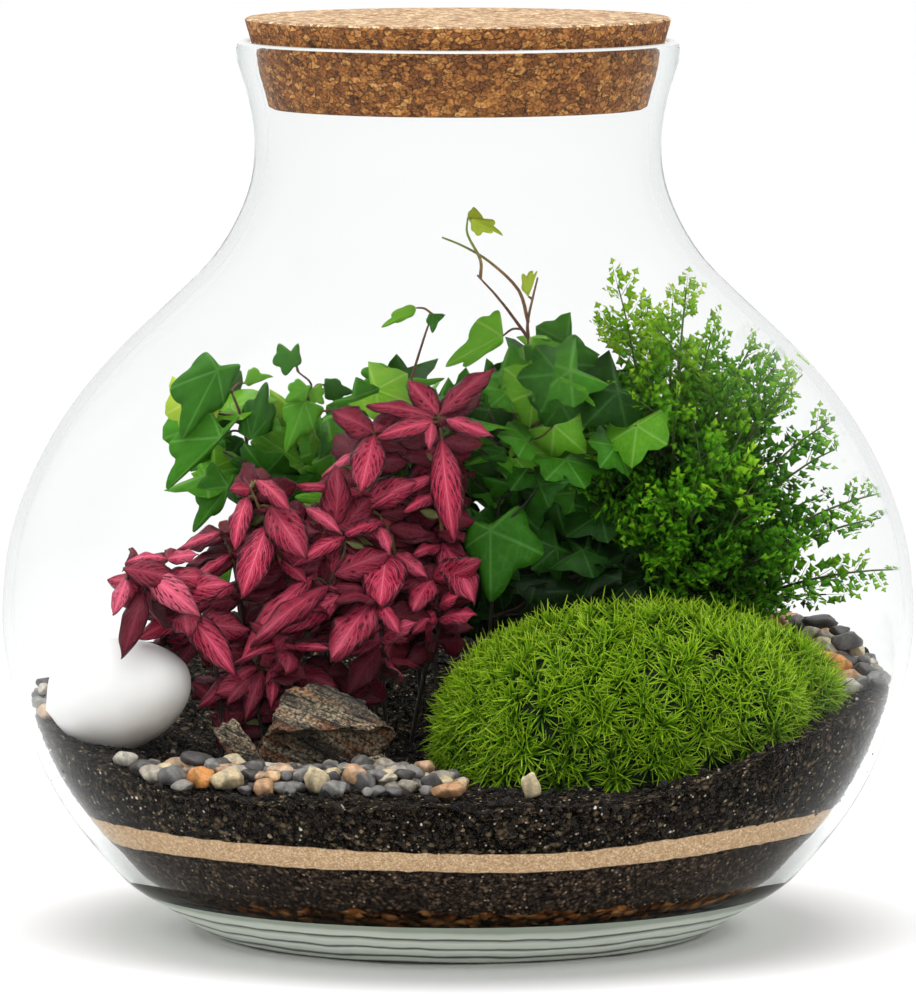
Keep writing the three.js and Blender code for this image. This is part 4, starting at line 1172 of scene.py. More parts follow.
@dataclass
class Cobble:
    """The white marble cobble, whose outline from the front is a lopsided loaf."""

    centre: Point = (-104, -35, 76.6)
    depth: float = 18.0
    outline: tuple[Point, ...] = (
        (-126.2, 73), (-125, 83), (-119.5, 90.6), (-111, 94.6), (-101, 94.4), (-91.4, 92),
        (-83.8, 87), (-81.8, 80), (-84.4, 72.6), (-91.5, 65), (-104, 60), (-118.6, 64.4),
    )

    def build(self) -> None:
        """Press a sphere into the outline."""
        centre = Vector(self.centre)
        ring = [Vector((x - centre.x, z - centre.z)) for x, z in self.outline]
        loop = smooth_line([*ring, ring[0]], 8)
        rows = sorted((math.atan2(p.y, p.x), p.length) for p in loop[:-1])
        first, last = rows[0], rows[-1]
        rows = [(last[0] - 2 * math.pi, last[1]), *rows, (first[0] + 2 * math.pi, first[1])]
        stone = start("uv_sphere", "white_cobble", segments=72, ring_count=40, radius=1)

        def pressed(p: Vector) -> Vector:
            """Reach the outline seen from the front, and round the depth off."""
            flat = math.hypot(p.x, p.z)
            reach = read_rows(rows, math.atan2(p.z, p.x))
            full = min(1.0, flat) ** 0.86
            deep = math.copysign(abs(p.y) ** 0.9, p.y) * self.depth
            lump = 1 + 0.02 * rough(p, 0.7) - 0.03 * max(0.0, rough(p, 0.11, 8) - 0.42)
            unit = Vector((p.x, 0, p.z)) / (flat or 1)
            return centre + (unit * reach * full + Vector((0, deep, 0))) * lump

        reshape(stone, pressed)
        open_edit(stone)
        close_edit()
        dress(stone, ["white_stone"], [MARBLE])


@dataclass(frozen=True)
class Slab:
    """A split rock: its outline from the front, its depth, how it leans and its node.

    Its face breaks along a line: it slopes back above the brink and is cut under below it.
    """

    name: str
    node: str
    outline: tuple[Point, ...]
    front: float
    back: float
    lean: float
    brink: float = 0.0
    brink_fall: float = 0.0
    slope: float = 0.0
    undercut: float = 0.0


@dataclass
class Rocks:
    """The layered rocks in front of the nerve plants."""

    slabs: tuple[Slab, ...] = (
        Slab(
            "schist_large", "rock_large",
            (
                (-61, 50), (-60.6, 63.5), (-56.1, 71), (-52.9, 80), (-46, 81.6), (-39, 81),
                (-28.2, 75.6), (-19, 66.8), (-24, 60), (-30.5, 50),
            ),
            -52, -25, 0.25, brink=67.5, brink_fall=0.06, slope=0.9, undercut=9,
        ),
        Slab(
            "schist_small", "rock_small",
            (
                (-62, 50), (-72.4, 65.1), (-75, 69.8), (-68, 72.6), (-62.4, 64.6), (-59, 55),
                (-58.6, 50),
            ),
            -61, -50.5, 0.1, brink=55, slope=0.35,
        ),
        Slab(
            "schist_chip", "rock_chip", ((-31, 51), (-30.8, 60), (-19.2, 60.2), (-18.2, 51)), -56,
            -50, 0,
        ),
    )

    def cut(self, slab: Slab) -> None:
        """Draw a slab out of its outline, split its edges and rough it along its layers.

        Args:
            slab: Which slab.
        """
        corners = [Vector((x, slab.front + 1.5, z)) for x, z in slab.outline]
        rock = start("circle", slab.name, vertices=len(corners), radius=1, fill_type="NGON")
        for vertex, corner in zip(rock.data.vertices, corners):
            vertex.co = corner
        open_edit(rock)
        bpy.ops.mesh.extrude_region_move(
            TRANSFORM_OT_translate={"value": (0, slab.back - slab.front - 3, 0)}
        )
        bpy.ops.mesh.select_all(action="SELECT")
        bpy.ops.mesh.bevel(offset=1.6, segments=2, profile=0.55)
        bpy.ops.mesh.quads_convert_to_tris()
        close_edit()
        for _ in range(4):
            open_edit(rock)
            bpy.ops.mesh.select_all(action="DESELECT")
            mesh = bmesh.from_edit_mesh(rock.data)
            for edge in mesh.edges:
                edge.select = edge.calc_length() > 1.5
            bmesh.update_edit_mesh(rock.data)
            bpy.ops.mesh.subdivide(number_cuts=1)
            bpy.ops.mesh.select_all(action="SELECT")
            bpy.ops.mesh.quads_convert_to_tris()
            close_edit()
        centre = sum(corners, Vector()) / len(corners)

        def split(p: Vector) -> Vector:
            """Lean the slab back over its broken lower edge, and step it where its layers break."""
            depth = (p.y - slab.front) / (slab.back - slab.front)
            brink = slab.brink + slab.brink_fall * (p.x - slab.outline[1][0])
            over = p.z - brink - 1.6 * rough(p, 7, 3)
            if over < 0:
                p = p + Vector((0, slab.undercut * smooth_step(-over / 2.2) * (1 - depth), 0))
            else:
                p = p + Vector((0, slab.slope * over * (1 - depth), 0))
            p = p - UP * slab.lean * depth * max(0.0, p.z - 54)
            bed = p.z * 0.8 + p.x * 0.35 + p.y * 0.5 + 2.4 * rough(p, 9)
            step = (bed / 2.3) % 1
            out = (p - centre).normalized()
            crag = 1.2 * (step - 0.5) + 1.6 * rough(p, 5) + 1.0 * rough(p, 2.2, 4)
            return p + out * crag

        reshape(rock, split)
        dress(rock, [slab.node], [ROCK], crease=32)

    def build(self) -> None:
        """Cut each slab."""
        for slab in self.slabs:
            self.cut(slab)


class Mineral(Enum):
    """What a pebble is made of, as its shade of the gravel's finish."""

    DARK = 0.04
    GREY = 0.14
    BLUE = 0.25
    CLAY = 0.38
    CHALK = 0.5
    CREAM = 0.6
    ORANGE = 0.7
    PINK = 0.8
    TAN = 0.9


# x, y, then width, depth and height, a turn, and a mineral where it shows
FRONT_PEBBLES = (
    (-94, -71, 9.5, 8, 5.5, 0.2), (-86, -81, 8.5, 8, 7, 0.4), (-79, -73, 7, 6, 5, 0.1),
    (-75, -71, 6.5, 6, 4.5, 0.5), (-70, -82, 7, 7, 5, 0.3), (-62, -78, 7, 7, 4.5, 0.2),
    (-54, -74, 7, 6, 5, 0.5), (-49, -77, 8, 8, 5.5, 0.3), (-44, -82, 7, 7, 5, 1.1),
    (-38, -78, 7, 6, 4.5, 0.2), (-36, -84, 7.5, 7, 5, 0.8), (-35, -90, 6.5, 6, 4.5, 0.4),
    (-28, -90, 7.5, 7, 7.5, 0.5), (-29, -80, 7, 7, 4.5, 1.2), (-21, -77, 7.5, 6.5, 4.5, 0.7),
    (-15, -88, 7, 6, 4.5, 0.3), (-14, -82, 7.5, 6.5, 4.5, 0.9), (-12, -72, 8, 6.5, 4.5, 0.4),
    (-5, -78, 7.5, 6, 4, 0.6), (-8, -88, 6, 5.5, 6, 0.2),
)
RIGHT_PEBBLES = (
    (116, 8, 17, 12, 13, 0.2, Mineral.ORANGE), (119, 40, 12, 10, 9, 0.2, Mineral.TAN),
    (104, 60, 13, 10, 10, 0.5, Mineral.TAN), (110, 41, 10, 10, 7, 0.5), (112, 32, 9, 9, 7, 0.3),
    (120, 25, 10, 10, 7, 0.4), (125, 17, 10, 9.5, 6.5, 0.1), (119, 15, 9.5, 9.5, 6, 0.8),
    (126, 8, 9, 9.5, 6.5, 0.6), (121, 1, 10, 9.5, 6, 0.3),
)
LEFT_PEBBLES = (
    (-126, 9, 8.5, 9, 9, 0.3), (-120, 13, 9, 9, 7, 0.8), (-124, 1, 9.5, 8.5, 8, 0.1),
    (-125, -6, 8, 8.5, 6.5, 0.9),
)
BRIGHT_PEBBLES = {
    "pebble_white_spotted": (-100.5, -63.5, 7.5, 7, 5, 0.3, Mineral.CHALK),
    "pebble_cream_long": (-89, -71.5, 10.5, 7, 5, 0.2, Mineral.CREAM),
    "pebble_orange_round": (-77.5, -84.5, 8.5, 8, 7, 0.2, Mineral.ORANGE),
    "pebble_cream_round": (-69.5, -87, 9.5, 8.5, 8, 0.5, Mineral.CREAM),
    "pebble_pink": (-56, -81, 6, 6, 5.5, 0.4, Mineral.PINK),
    "pebble_cream_tall": (-42, -92, 7.5, 7, 9, 0.1, Mineral.CREAM),
    "pebble_cream_wide": (-22, -83, 9.5, 8, 7, 0.3, Mineral.CREAM),
    "pebble_striped": (-5, -74, 8.5, 6, 5, 0.1, Mineral.CLAY),
    "pebble_tan_front": (-3, -104, 10, 9, 6, 0.1, Mineral.TAN),
    "pebble_tan_moss": (21.8, -104, 5.2, 5.5, 8.2, 0.2, Mineral.CREAM),
}


@dataclass(frozen=True)
class Heap:
    """A spread of gravel: its name, its nodes, its big stones and where the small ones lie.

    The small lie in layers, each on the one below it and drawn in towards the summit.
    """

    name: str
    nodes: tuple[str, ...]
    large: tuple[tuple[float | Mineral, ...], ...]
    patch: tuple[Point, ...]
    count: int
    sizes: tuple[float, float]
    seed: int
    summit: Point
    layers: int = 2


@dataclass
class Gravel:
    """River gravel: bright pebbles one by one, and heaps of mixed ones."""

    ground: Ground
    vase: Vase
    grey: tuple[Mineral, ...] = (
        Mineral.DARK, Mineral.GREY, Mineral.BLUE, Mineral.GREY, Mineral.CLAY, Mineral.BLUE,
        Mineral.CHALK, Mineral.CREAM, Mineral.DARK, Mineral.TAN, Mineral.CLAY,
    )
    heaps: tuple[Heap, ...] = (
        Heap(
            "gravel_front", tuple(f"pebbles_front_{i}" for i in range(1, 14)), FRONT_PEBBLES,
            (
                (-103, -66), (-84, -89), (-60, -93), (-34, -98), (-10, -98), (2, -84), (3, -66),
                (-20, -60), (-60, -63), (-84, -57),
            ),
            92, (4.0, 8.0), 311, (-40, -68),
        ),
        Heap(
            "gravel_right", ("pebbles_right",), RIGHT_PEBBLES,
            (
                (92, 74), (112, 68), (126, 40), (134, 14), (131, -14), (119, -10), (108, 18),
                (96, 50),
            ),
            84, (4.6, 9.0), 97, (116, 34), 3,
        ),
        Heap(
            "gravel_left", ("pebbles_left",), LEFT_PEBBLES,
            ((-136, 0), (-131, -22), (-118, -12), (-110, 20), (-122, 30)), 30, (3.8, 7.5), 53,
            (-126, -2), 3,
        ),
    )
    models: list[Piece] = field(default_factory=list)

    def shape(self) -> None:
        """Model five tumbled forms: balls worn flat here and there, so that they keep edges."""
        for seed in range(5):
            model = start("ico_sphere", f"pebble_form_{seed}", subdivisions=3, radius=0.55)
            draw = Draws(100 + seed)
            flats = [draw.direction() for _ in range(7)]

            def tumbled(p: Vector) -> Vector:
                """Pull the ball in where its stone wore faster."""
                worn = p * (1 + 0.4 * rough(p, 0.55, 11 * seed) + 0.14 * rough(p, 0.22, seed))
                for k, flat in enumerate(flats):
                    over = worn.dot(flat) - 0.34 - 0.03 * (k % 3)
                    if over > 0:
                        worn -= flat * over * 0.8
                return worn

            self.models.append(reshape(model, tumbled))

    def pebble(
        self, row: Point, form: int, tone: float, lift: float = 0.36, below: float = 0.0
    ) -> Piece:
        """Lay one pebble on the ground or on others.

        Args:
            row: x, y, width, depth, height and turn.
            form: Which of the forms it has.
            tone: Its shade.
            lift: The height of its middle, as a share of its height.
            below: The height of what it lies on.

        Returns:
            The pebble.
        """
        x, y, wide, deep, high, turn = row[:6]
        at = Vector((x, y, self.ground.plain(x, y) + below + high * lift))
        at = self.vase.held(at, wide * 0.5 + 0.6)
        along = heading(turn) + UP * 0.12
        across = UP.cross(along).normalized()
        face = along.cross(across).normalized()
        return stamp(
            self.models[form % 5], at, along.normalized() * wide, across * deep, face * high,
            tone=tone,
        )

    def heap(self, heap: Heap) -> None:
        """Lay the large stones of a heap and strew the small ones between them.

        Args:
            heap: Which heap.
        """
        draw = Draws(heap.seed)
        pieces = [
            self.pebble(row, i, (row[6] if len(row) > 6 else self.grey[i % 11]).value, 0.42)
            for i, row in enumerate(heap.large)
        ]
        set_down = [(row[0], row[1], row[2] * 0.5) for row in heap.large]
        set_down += [(b[0], b[1], b[2] * 0.5) for b in BRIGHT_PEBBLES.values()]
        xs, ys = zip(*heap.patch)
        middle = sum(heap.sizes) / 2
        for layer in range(heap.layers):
            drawn_in = 1 - 0.3 * layer
            taken = [] if layer else list(set_down)
            for tries in range(1500):
                if len(taken) > heap.count:
                    break
                x, y = draw.between(min(xs), max(xs)), draw.between(min(ys), max(ys))
                size = heap.sizes[0] + (heap.sizes[1] - heap.sizes[0]) * draw.unit() ** 1.5
                if not within(heap.patch, x, y):
                    continue
                x = heap.summit[0] + (x - heap.summit[0]) * drawn_in
                y = heap.summit[1] + (y - heap.summit[1]) * drawn_in
                if any(math.hypot(x - a, y - b) < 0.74 * (r + size / 2) for a, b, r in taken):
                    continue
                if layer and any(math.hypot(x - a, y - b) < 0.9 * r for a, b, r in set_down):
                    continue
                taken.append((x, y, size / 2))
                high = size * draw.between(0.6, 0.85)
                row = (x, y, size * draw.between(1, 1.4), size, high, draw.between(0, 3))
                tone = self.grey[int(draw.unit() * 10.99)].value + draw.between(-0.04, 0.04)
                pieces.append(self.pebble(row, tries, tone, below=layer * middle * 0.55))
        dress(joined(heap.name, pieces), heap.nodes, [PEBBLE])

    def build(self) -> None:
        """Lay the bright pebbles, then the heaps."""
        self.shape()
        for i, (node, (*row, mineral)) in enumerate(BRIGHT_PEBBLES.items()):
            piece = self.pebble(tuple(row), i, mineral.value, 0.45)
            piece.name = piece.data.name = node.replace("pebble_", "stone_")
            dress(piece, [node], [PEBBLE])
        for heap in self.heaps:
            self.heap(heap)
        thrown_away(*self.models)


# ---- leaves and the plants that carry them ----


@dataclass(frozen=True)
class Shoot:
    """One plant as measured: its node, root, the path of its stem, its branches and its leaves."""

    node: str
    root: tuple[float, float]
    path: tuple[Point, ...]
    leaves: tuple[Point, ...]
    branches: tuple[tuple[Point, ...], ...] = ()


# A nerve plant's leaf is its base x, y, z, its tip x, y, z and its width.
NERVE_SHOOTS = (
    Shoot("nerve_plant_a", (-14, 6), (
        (-6, 2, 102), (-5, 0, 120), (-6, -2, 136), (-6, -3, 142), (-5, -5, 153), (-6, -6, 160),
    ), (
        (-6, -6, 161, 11, -6, 176, 7), (-7, -6, 160, -28, -14, 165, 6),
        (-6, -6, 161, -9, -2, 166, 4.5), (-7, -7, 159, -24, -18, 156, 5.5),
        (-4, -7, 160, 11, -16, 155, 5), (-8, -8, 159, -9, -16, 152, 3.5),
        (-5, -6, 153, -2, -20, 125, 9.5), (-6, -4, 142, -25, -18, 136, 4.5),
        (-6, -4, 136, -16, -16, 133, 4.5), (-5, -2, 121, 5, -20, 103, 10.5),
        (-5, -2, 120, -14, -14, 118, 5),
    )),
    Shoot("nerve_plant_b", (-27, -8), (
        (-20, -6, 103), (-20, -6, 120), (-23, -8, 128), (-30, -10, 136), (-28, -9, 146),
        (-26, -8, 155),
    ), (
        (-26, -9, 155, -30, -24, 139, 10), (-26, -9, 156, -39, -18, 163, 9),
        (-30, -11, 137, -50, -20, 140, 5.5), (-23, -9, 128, -35, -22, 125, 4.5),
        (-22, -7, 119, -24, -26, 103, 13), (-27, -9, 150, -41, -20, 146, 2.5),
        (-25, -10, 127, -21, -20, 121, 4.5), (-20, -5, 118, -10, -14, 112, 5.5),
    )),
    Shoot("nerve_plant_c", (-52, -14), (
        (-52, -14, 104), (-55, -17, 117), (-59, -19, 128), (-64, -18, 139),
    ), (
        (-65, -19, 137, -69, -32, 123, 6.5), (-64, -18, 139, -70, -26, 140, 5),
        (-62, -18, 142, -52, -32, 135, 6), (-58, -20, 134, -48, -36, 122, 11.5),
        (-59, -21, 128, -66, -38, 109, 10), (-55, -17, 117, -47, -24, 112, 5),
    )),
    Shoot("nerve_plant_d", (-73, -26), (
        (-75, -28, 86), (-84, -34, 102), (-90, -40, 112), (-95, -46, 116), (-102, -51, 118),
    ), (
        (-96, -47, 111, -102, -58, 92, 7), (-101, -51, 115, -105, -56, 104, 4.5),
        (-89, -43, 120, -100, -52, 122, 4), (-89, -43, 120, -79, -50, 122, 4.5),
        (-95, -47, 116, -80, -58, 106, 8.5), (-84, -36, 103, -69, -52, 88, 9),
        (-85, -33, 101, -98, -40, 95, 6), (-80, -30, 94, -87, -34, 85, 4.5),
    )),
    Shoot("nerve_plant_e", (-64, -8), (
        (-66, -12, 92), (-68, -16, 108), (-70, -19, 119), (-73, -20, 126),
    ), (
        (-73, -21, 126, -86, -32, 122, 3), (-70, -20, 119, -82, -32, 112, 3.5),
        (-69, -18, 109, -75, -28, 106, 4),
    )),
    Shoot("nerve_plant_f", (-38, -6), (
        (-40, -14, 92), (-40, -17, 109), (-35, -16, 121), (-40, -15, 128), (-47, -14, 133),
    ), (
        (-47, -15, 133, -37, -26, 128, 4.5), (-35, -17, 124, -48, -34, 120, 5.5),
        (-40, -19, 109, -63, -48, 95, 7.5), (-45, -18, 112, -67, -40, 92, 8),
        (-36, -18, 106, -54, -32, 97, 8.5),
    )),
    Shoot("nerve_plant_g", (-22, -16), (
        (-23, -18, 77), (-23, -19, 89), (-25, -20, 104),
    ), (
        (-26, -21, 105, -39, -42, 88, 11.5), (-24, -20, 90, -34, -27, 77, 8.5),
        (-24, -19, 92, -13, -28, 99, 6.5), (-25, -20, 104, -18, -34, 96, 5.5),
    )),
    Shoot("nerve_plant_h", (-60, -24), (
        (-62, -24, 74), (-62, -25, 83), (-59, -26, 88), (-52, -27, 91),
    ), (
        (-49, -28, 91, -66, -46, 92, 2.5), (-51, -28, 90, -57, -38, 85, 6.5),
        (-60, -26, 84, -65, -39, 72, 5.5), (-57, -27, 86, -57, -37, 75, 4.5),
        (-62, -26, 83, -71, -37, 75, 6.5), (-62, -26, 85, -80, -34, 74, 6.5),
        (-52, -28, 91, -39, -36, 92, 2.5), (-56, -26, 88, -47, -34, 82, 6.5),
    )),
    Shoot("nerve_plant_i", (-6, -6), (
        (-7, -8, 85), (-6, -9, 99), (-8, -9, 110),
    ), (
        (-8, -10, 110, -14, -24, 102, 8), (-6, -10, 102, 0, -18, 106, 5.5),
        (-7, -10, 100, -13, -20, 96, 6), (-6, -10, 98, 6, -20, 100, 7),
        (-6, -8, 91, -17, -18, 84, 5.5),
    )),
)

# An ivy leaf is its stalk's end x, y, z, a slope, then x, z from there to its tip, to its two
# side lobes and to its two back lobes.
IVY_SHOOTS = (
    Shoot("ivy_left", (-60, 30), (
        (-67, 26, 136), (-66, 24, 147), (-68, 22, 158), (-71, 21, 166), (-73, 19, 172),
    ), (
        (-75, 18, 173, 0.3, -11, -21, -15, -5, 2, -10, -4, 6, 7, 2),
        (-74, 16, 152, 0.3, -17, -16, -16, -1, -5, -6, -4, 9, 6, 7),
        (-65, 20, 151, 0.1, 5, 18, -2, 11, 8, 9, -4, 2, 6, 2),
        (-72, 20, 136, 0.3, -11, -14, -10, -1, -2, -7, -5, 8, 2, 4),
        (-67, 27, 168, 0.2, 9, 2, 3, 5, 6, 1, 1, 4, 1, -1),
        (-71, 14, 117, 0.3, -10, -12, -11, -6, -1, -12, -7, 0, 1, -2),
    )),
    Shoot("ivy_mid", (-40, 36), (
        (-50, 33, 134), (-49, 31, 146), (-47, 28, 156), (-47, 25, 162), (-46, 23, 168),
        (-50, 21, 172),
    ), (
        (-48, 22, 163, 0.3, -6, -16, -7, -2, 3, -9, -4, 1, 6, -2),
        (-52, 20, 177, 0.2, -2, -6, -6, -2, 3, -2, -4, 4, 2, 4),
        (-47, 20, 167, 0.3, -7, -4, -6, 1, -1, -4, -3, 3, 1, 1),
        (-46, 23, 166, 0.3, 4, -4, 0, -4, 4, 0, -1, 1, 3, 2),
        (-48, 30, 142, 0.1, -18, -2, -15, 10, -6, -6, -7, 12, 1, -5),
        (-46, 36, 145, 0.1, 16, 8, 6, 12, 13, -2, -1, 8, 4, -6),
        (-42, 32, 167, 0.1, 9, -2, 4, 2, 5, -6, 0, 2, 0, -4),
        (-38, 18, 132, 0.2, -13, 1, -10, 4, -8, -3, -2, 4, 1, -3),
    )),
    Shoot("ivy_centre", (-12, 36), (
        (-15, 32, 132), (-16, 31, 146), (-15, 30, 157), (-15, 30, 167), (-11, 26, 181),
        (-8, 21, 190),
    ), (
        (-16, 29, 169, 0.1, -16, -3, -14, 3, -11, -4, -8, 5, -2, 2),
        (-19, 34, 166, 0.1, 15, 3, 5, 3, 8, -2, 0, 2, 2, -2),
        (-15, 26, 150, 0.2, -6, -8, -7, -2, 2, -8, -3, 3, 3, 0),
        (-13, 20, 192, 0.2, -11, -6, -7, -1, -5, -4, -2, 1, -1, -2),
        (-8, 20, 190, 0.1, 0, -6, -2, -2, 4, 0, -1, 0, 3, 0),
    )),
    Shoot("ivy_top", (24, 36), (
        (26, 33, 132), (26, 31, 146), (24, 29, 161), (22, 28, 172), (22, 27, 182),
    ), (
        (14, 22, 183, 0.3, -18, -9, -8, 5, -11, -9, -1, 8, 0, -2),
        (30, 20, 175, 0.3, 8, -15, -8, -7, 16, -1, -9, 6, 6, 9),
        (29, 26, 179, 0.1, -3, 3, -4, 1, 0, 3, -4, 0, 1, 1),
        (3, 20, 220, 0.6, 11, -5, 2, 4, 8, 0, 0, 2, 1, -1),
        (4, 19, 220, 0.3, 7, -4, 4, 0, 2, -5, 0, 0, 0, -3),
        (22, 26, 195, 0.1, 1, 8, -2, 7, 3, 8, -2, 2, 1, 2),
    ), (
        ((22, 27, 182), (14, 25, 193), (6, 23, 202)), ((22, 27, 182), (22, 27, 188), (25, 26, 201)),
        ((22, 27, 187), (19, 26, 197), (10, 25, 206), (2, 24, 211), (-5, 23, 214)),
        ((7, 23, 201), (7, 22, 207), (3, 21, 215), (3, 20, 220)),
    )),
    Shoot("ivy_right", (10, 28), (
        (13, 22, 133), (16, 20, 145), (19, 22, 152), (20, 26, 158),
    ), (
        (16, 18, 147, 0.1, 17, 0, 8, 6, 7, -8, 1, 5, 1, -5),
        (15, 17, 147, 0.1, -11, 2, -6, 4, -7, -2, -1, 3, 0, -3),
        (19, 28, 157, 0.1, -11, 4, -9, 10, -9, -4, -2, 9, 1, -6),
        (24, 30, 157, 0.1, 11, 4, 3, 10, 11, -3, -2, 8, 1, -6),
        (35, 24, 149, 0.1, 16, -5, 10, 4, 10, -14, 0, 3, 0, -11),
    )),
    Shoot("ivy_front", (8, 10), (
        (11, 8, 106), (12, 7, 115), (10, 6, 123),
    ), (
        (10, 5, 124, 0.3, 0, -22, -8, -5, 17, -7, -7, 3, 9, 8),
        (12, 10, 114, 0.1, 9, -8, 4, -1, 4, -9, 1, 2, 1, -6),
    )),
)


def nearest(axes: Sequence[Sequence[Vector]], to: Vector) -> Vector:
    """Return the point of some stems that is nearest to a place and not far above it."""
    points = (p for axis in axes for p in axis)
    return min(points, key=lambda p: (p - to).length + 0.8 * max(0.0, p.z - to.z))


def stem_lines(shoot: Shoot, ground: Ground) -> list[list[Vector]]:
    """Return the smooth lines of a plant's stem, from under the soil, and of its branches."""
    x, y = shoot.root
    foot = ground.plain(x, y)
    stem = [(x, y, foot - 6), (x, y, foot + 1), (x, y, foot + 6), *shoot.path]
    return [smooth_line(way, 4) for way in (stem, *shoot.branches)]


@dataclass
class NervePlants:
    """The pink nerve plants: measured leaves in front, and pairs behind that fill the bush."""

    ground: Ground
    vase: Vase
    stem: tuple[float, float] = (0.85, 0.5)
    stalk: tuple[float, float] = (0.55, 0.4)
    thickness: float = 0.3
    arch: float = 0.07
    fill: int = 52
    reach: tuple[Point, ...] = (
        (-108, 116), (-108, 88), (-86, 90), (-83, 68), (-62, 66), (-40, 72), (-12, 84), (5, 88),
        (9, 105), (7, 145), (11, 158), (8, 177), (-6, 174), (-33, 168), (-42, 160), (-39, 150),
        (-70, 143), (-78, 124), (-95, 123),
    )
    fine: list[Piece] = field(default_factory=list)
    plain: list[Piece] = field(default_factory=list)

    def blade(self, name: str, rows: int, columns: int, droop: float, wave: float) -> Piece:
        """Model a leaf one unit long and one wide: a grid drawn to a pointed oval and puckered.

        Args:
            name: The model's name.
            rows: Faces from base to tip.
            columns: Faces across.
            droop: How far its tip hangs.
            wave: How far its edge waves.

        Returns:
            The leaf, along x, with its upper side up.
        """
        leaf = start(
            "grid", name, x_subdivisions=rows, y_subdivisions=columns, size=1, calc_uvs=True
        )

        def pressed(p: Vector) -> Vector:
            """Draw the grid to the leaf's outline, arch it and lift what lies between veins."""
            along, side = p.x + 0.5, 2 * p.y
            half = 0.56 * max(0.0, math.sin(math.pi * along**0.9)) ** 0.8
            half *= 1 - 0.2 * smooth_step((along - 0.76) / 0.24)
            flat = abs(side)
            rise = 4 * self.arch * along * (1 - along) - droop * along**3
            fold = 0.07 * flat - 0.12 * flat * flat
            edge = wave * math.sin(15 * along + (4 if side > 0 else 0)) * flat**2
            pucker = 0.01 * math.sin(10 * math.pi * (along - 0.34 * flat)) * math.sin(
                math.pi * flat
            )
            wide = side * half * (1 + 0.6 * wave * math.sin(19 * along + side))
            return Vector((along, wide, rise + fold + edge + pucker))

        return reshape(leaf, pressed)

    def shape(self) -> None:
        """Model the leaf in a few turns of growth, fine for the front and plain for the rest."""
        for i, (droop, wave) in enumerate(((0.02, 0.03), (0.1, 0.045), (0.2, 0.03), (-0.04, 0.05))):
            self.fine.append(self.blade(f"nerve_leaf_{i}", 26, 10, droop, wave))
            self.plain.append(self.blade(f"nerve_leaf_plain_{i}", 14, 6, droop, wave))

    def fits(self, tip: Vector) -> bool:
        """Tell whether a leaf's tip stays within the bush, the vase and clear of the soil."""
        return (
            within(self.reach, tip.x, tip.z)
            and tip.xy.length < self.vase.inner_radius(tip.z) - 4
            and tip.z > self.ground.plain(tip.x, tip.y) + 4
        )

    def plant(self, shoot: Shoot, draw: Draws) -> None:
        """Grow one plant: its stem, its measured leaves, their mates behind, and young shoots.

        Args:
            shoot: The plant as measured.
            draw: The draws.
        """
        axes = stem_lines(shoot, self.ground)
        ways = [(axes[0], *self.stem)]
        blades = []

        def leaf(
            base: Vector, tip: Vector, wide: float, tone: float, fine: bool, tilt: float
        ) -> None:
            """Set one leaf between two places, with a stalk where it starts off the stem."""
            along = tip - base
            face = draw.near(TO_VIEWER, tilt)
            across, off = facing(along.normalized(), face)
            models = self.fine if fine else self.plain
            model = models[int(draw.unit() * 3.99)]
            blades.append(stamp(model, base, along, across * wide, off * along.length, tone=tone))
            origin = nearest(axes, base)
            if (origin - base).length > 0.8:
                middle = origin.lerp(base, 0.5) + UP * (origin - base).length * 0.1
                inner = base.lerp(tip, 0.06)
                ways.append((smooth_line((origin, middle, inner), 3), *self.stalk))

        for bx, by, bz, tx, ty, tz, wide in shoot.leaves:
            base, tip = Vector((bx, by, bz)), Vector((tx, ty, tz))
            # painted shade: leaves low in the bush are darker
            tone = draw.between(0.25, 1.05) - 0.35 * smooth_step((108 - tip.z) / 30)
            leaf(base, tip, max(wide, 3.2), tone, True, 0.22)
            # each mate behind is darker, for painted shade
            away = base - tip
            mate = base + Vector((away.x * 0.7, abs(away.y) + 4, -away.z * 0.8))
            mate += draw.direction() * 3
            if self.fits(mate):
                leaf(base, mate, (mate - base).length * 0.5, draw.between(0, 0.4), False, 0.5)
        for _ in range(self.fill):
            base = axes[0][int(draw.between(0.12, 0.99) * len(axes[0]))].copy()
            way = draw.direction()
            way.z = abs(way.z) * 0.7 - 0.3
            way.x *= 1.2
            if draw.unit() > 0.2:
                way.y = abs(way.y)
            reach = draw.between(11, 21)
            young = draw.unit() > 0.92 - 0.22 * smooth_step((base.z - 118) / 22)
            tip = base + way.normalized() * reach * (0.55 if young else 1)
            if not self.fits(tip):
                continue
            # painted shade: leaves at the back and low in the bush are darker
            hidden = smooth_step((tip.y + 26) / 24)
            low = smooth_step((112 - tip.z) / 36)
            dim = (1 - 0.8 * hidden) * (1 - 0.5 * low)
            tone = 1.7 if young else draw.between(0.05, 0.55) * dim
            leaf(base, tip, (tip - base).length * draw.between(0.42, 0.56), tone, False, 0.7)
        stems = stalks(shoot.node + "_stems", ways, 1)
        mark(stems, "tone", lambda p: 0.15 + 0.6 * smooth_step((p.z - 85) / 45) + 0.3 * rough(p, 7))
        paint(stems, NERVE_STEM)
        foliage = joined(shoot.node + "_leaves", blades)
        paint(foliage, NERVE_TOP, NERVE_UNDER)
        under = {"material_offset": 1, "material_offset_rim": 1}
        modified(foliage, "SOLIDIFY", thickness=self.thickness, offset=-1, **under)
        plant = joined(shoot.node.replace("plant", "shoot"), [foliage, stems])
        dress(plant, [shoot.node])

    def build(self) -> None:
        """Grow every nerve plant."""
        self.shape()
        draw = Draws(90210)
        for shoot in NERVE_SHOOTS:
            self.plant(shoot, draw)
        thrown_away(*self.fine, *self.plain)


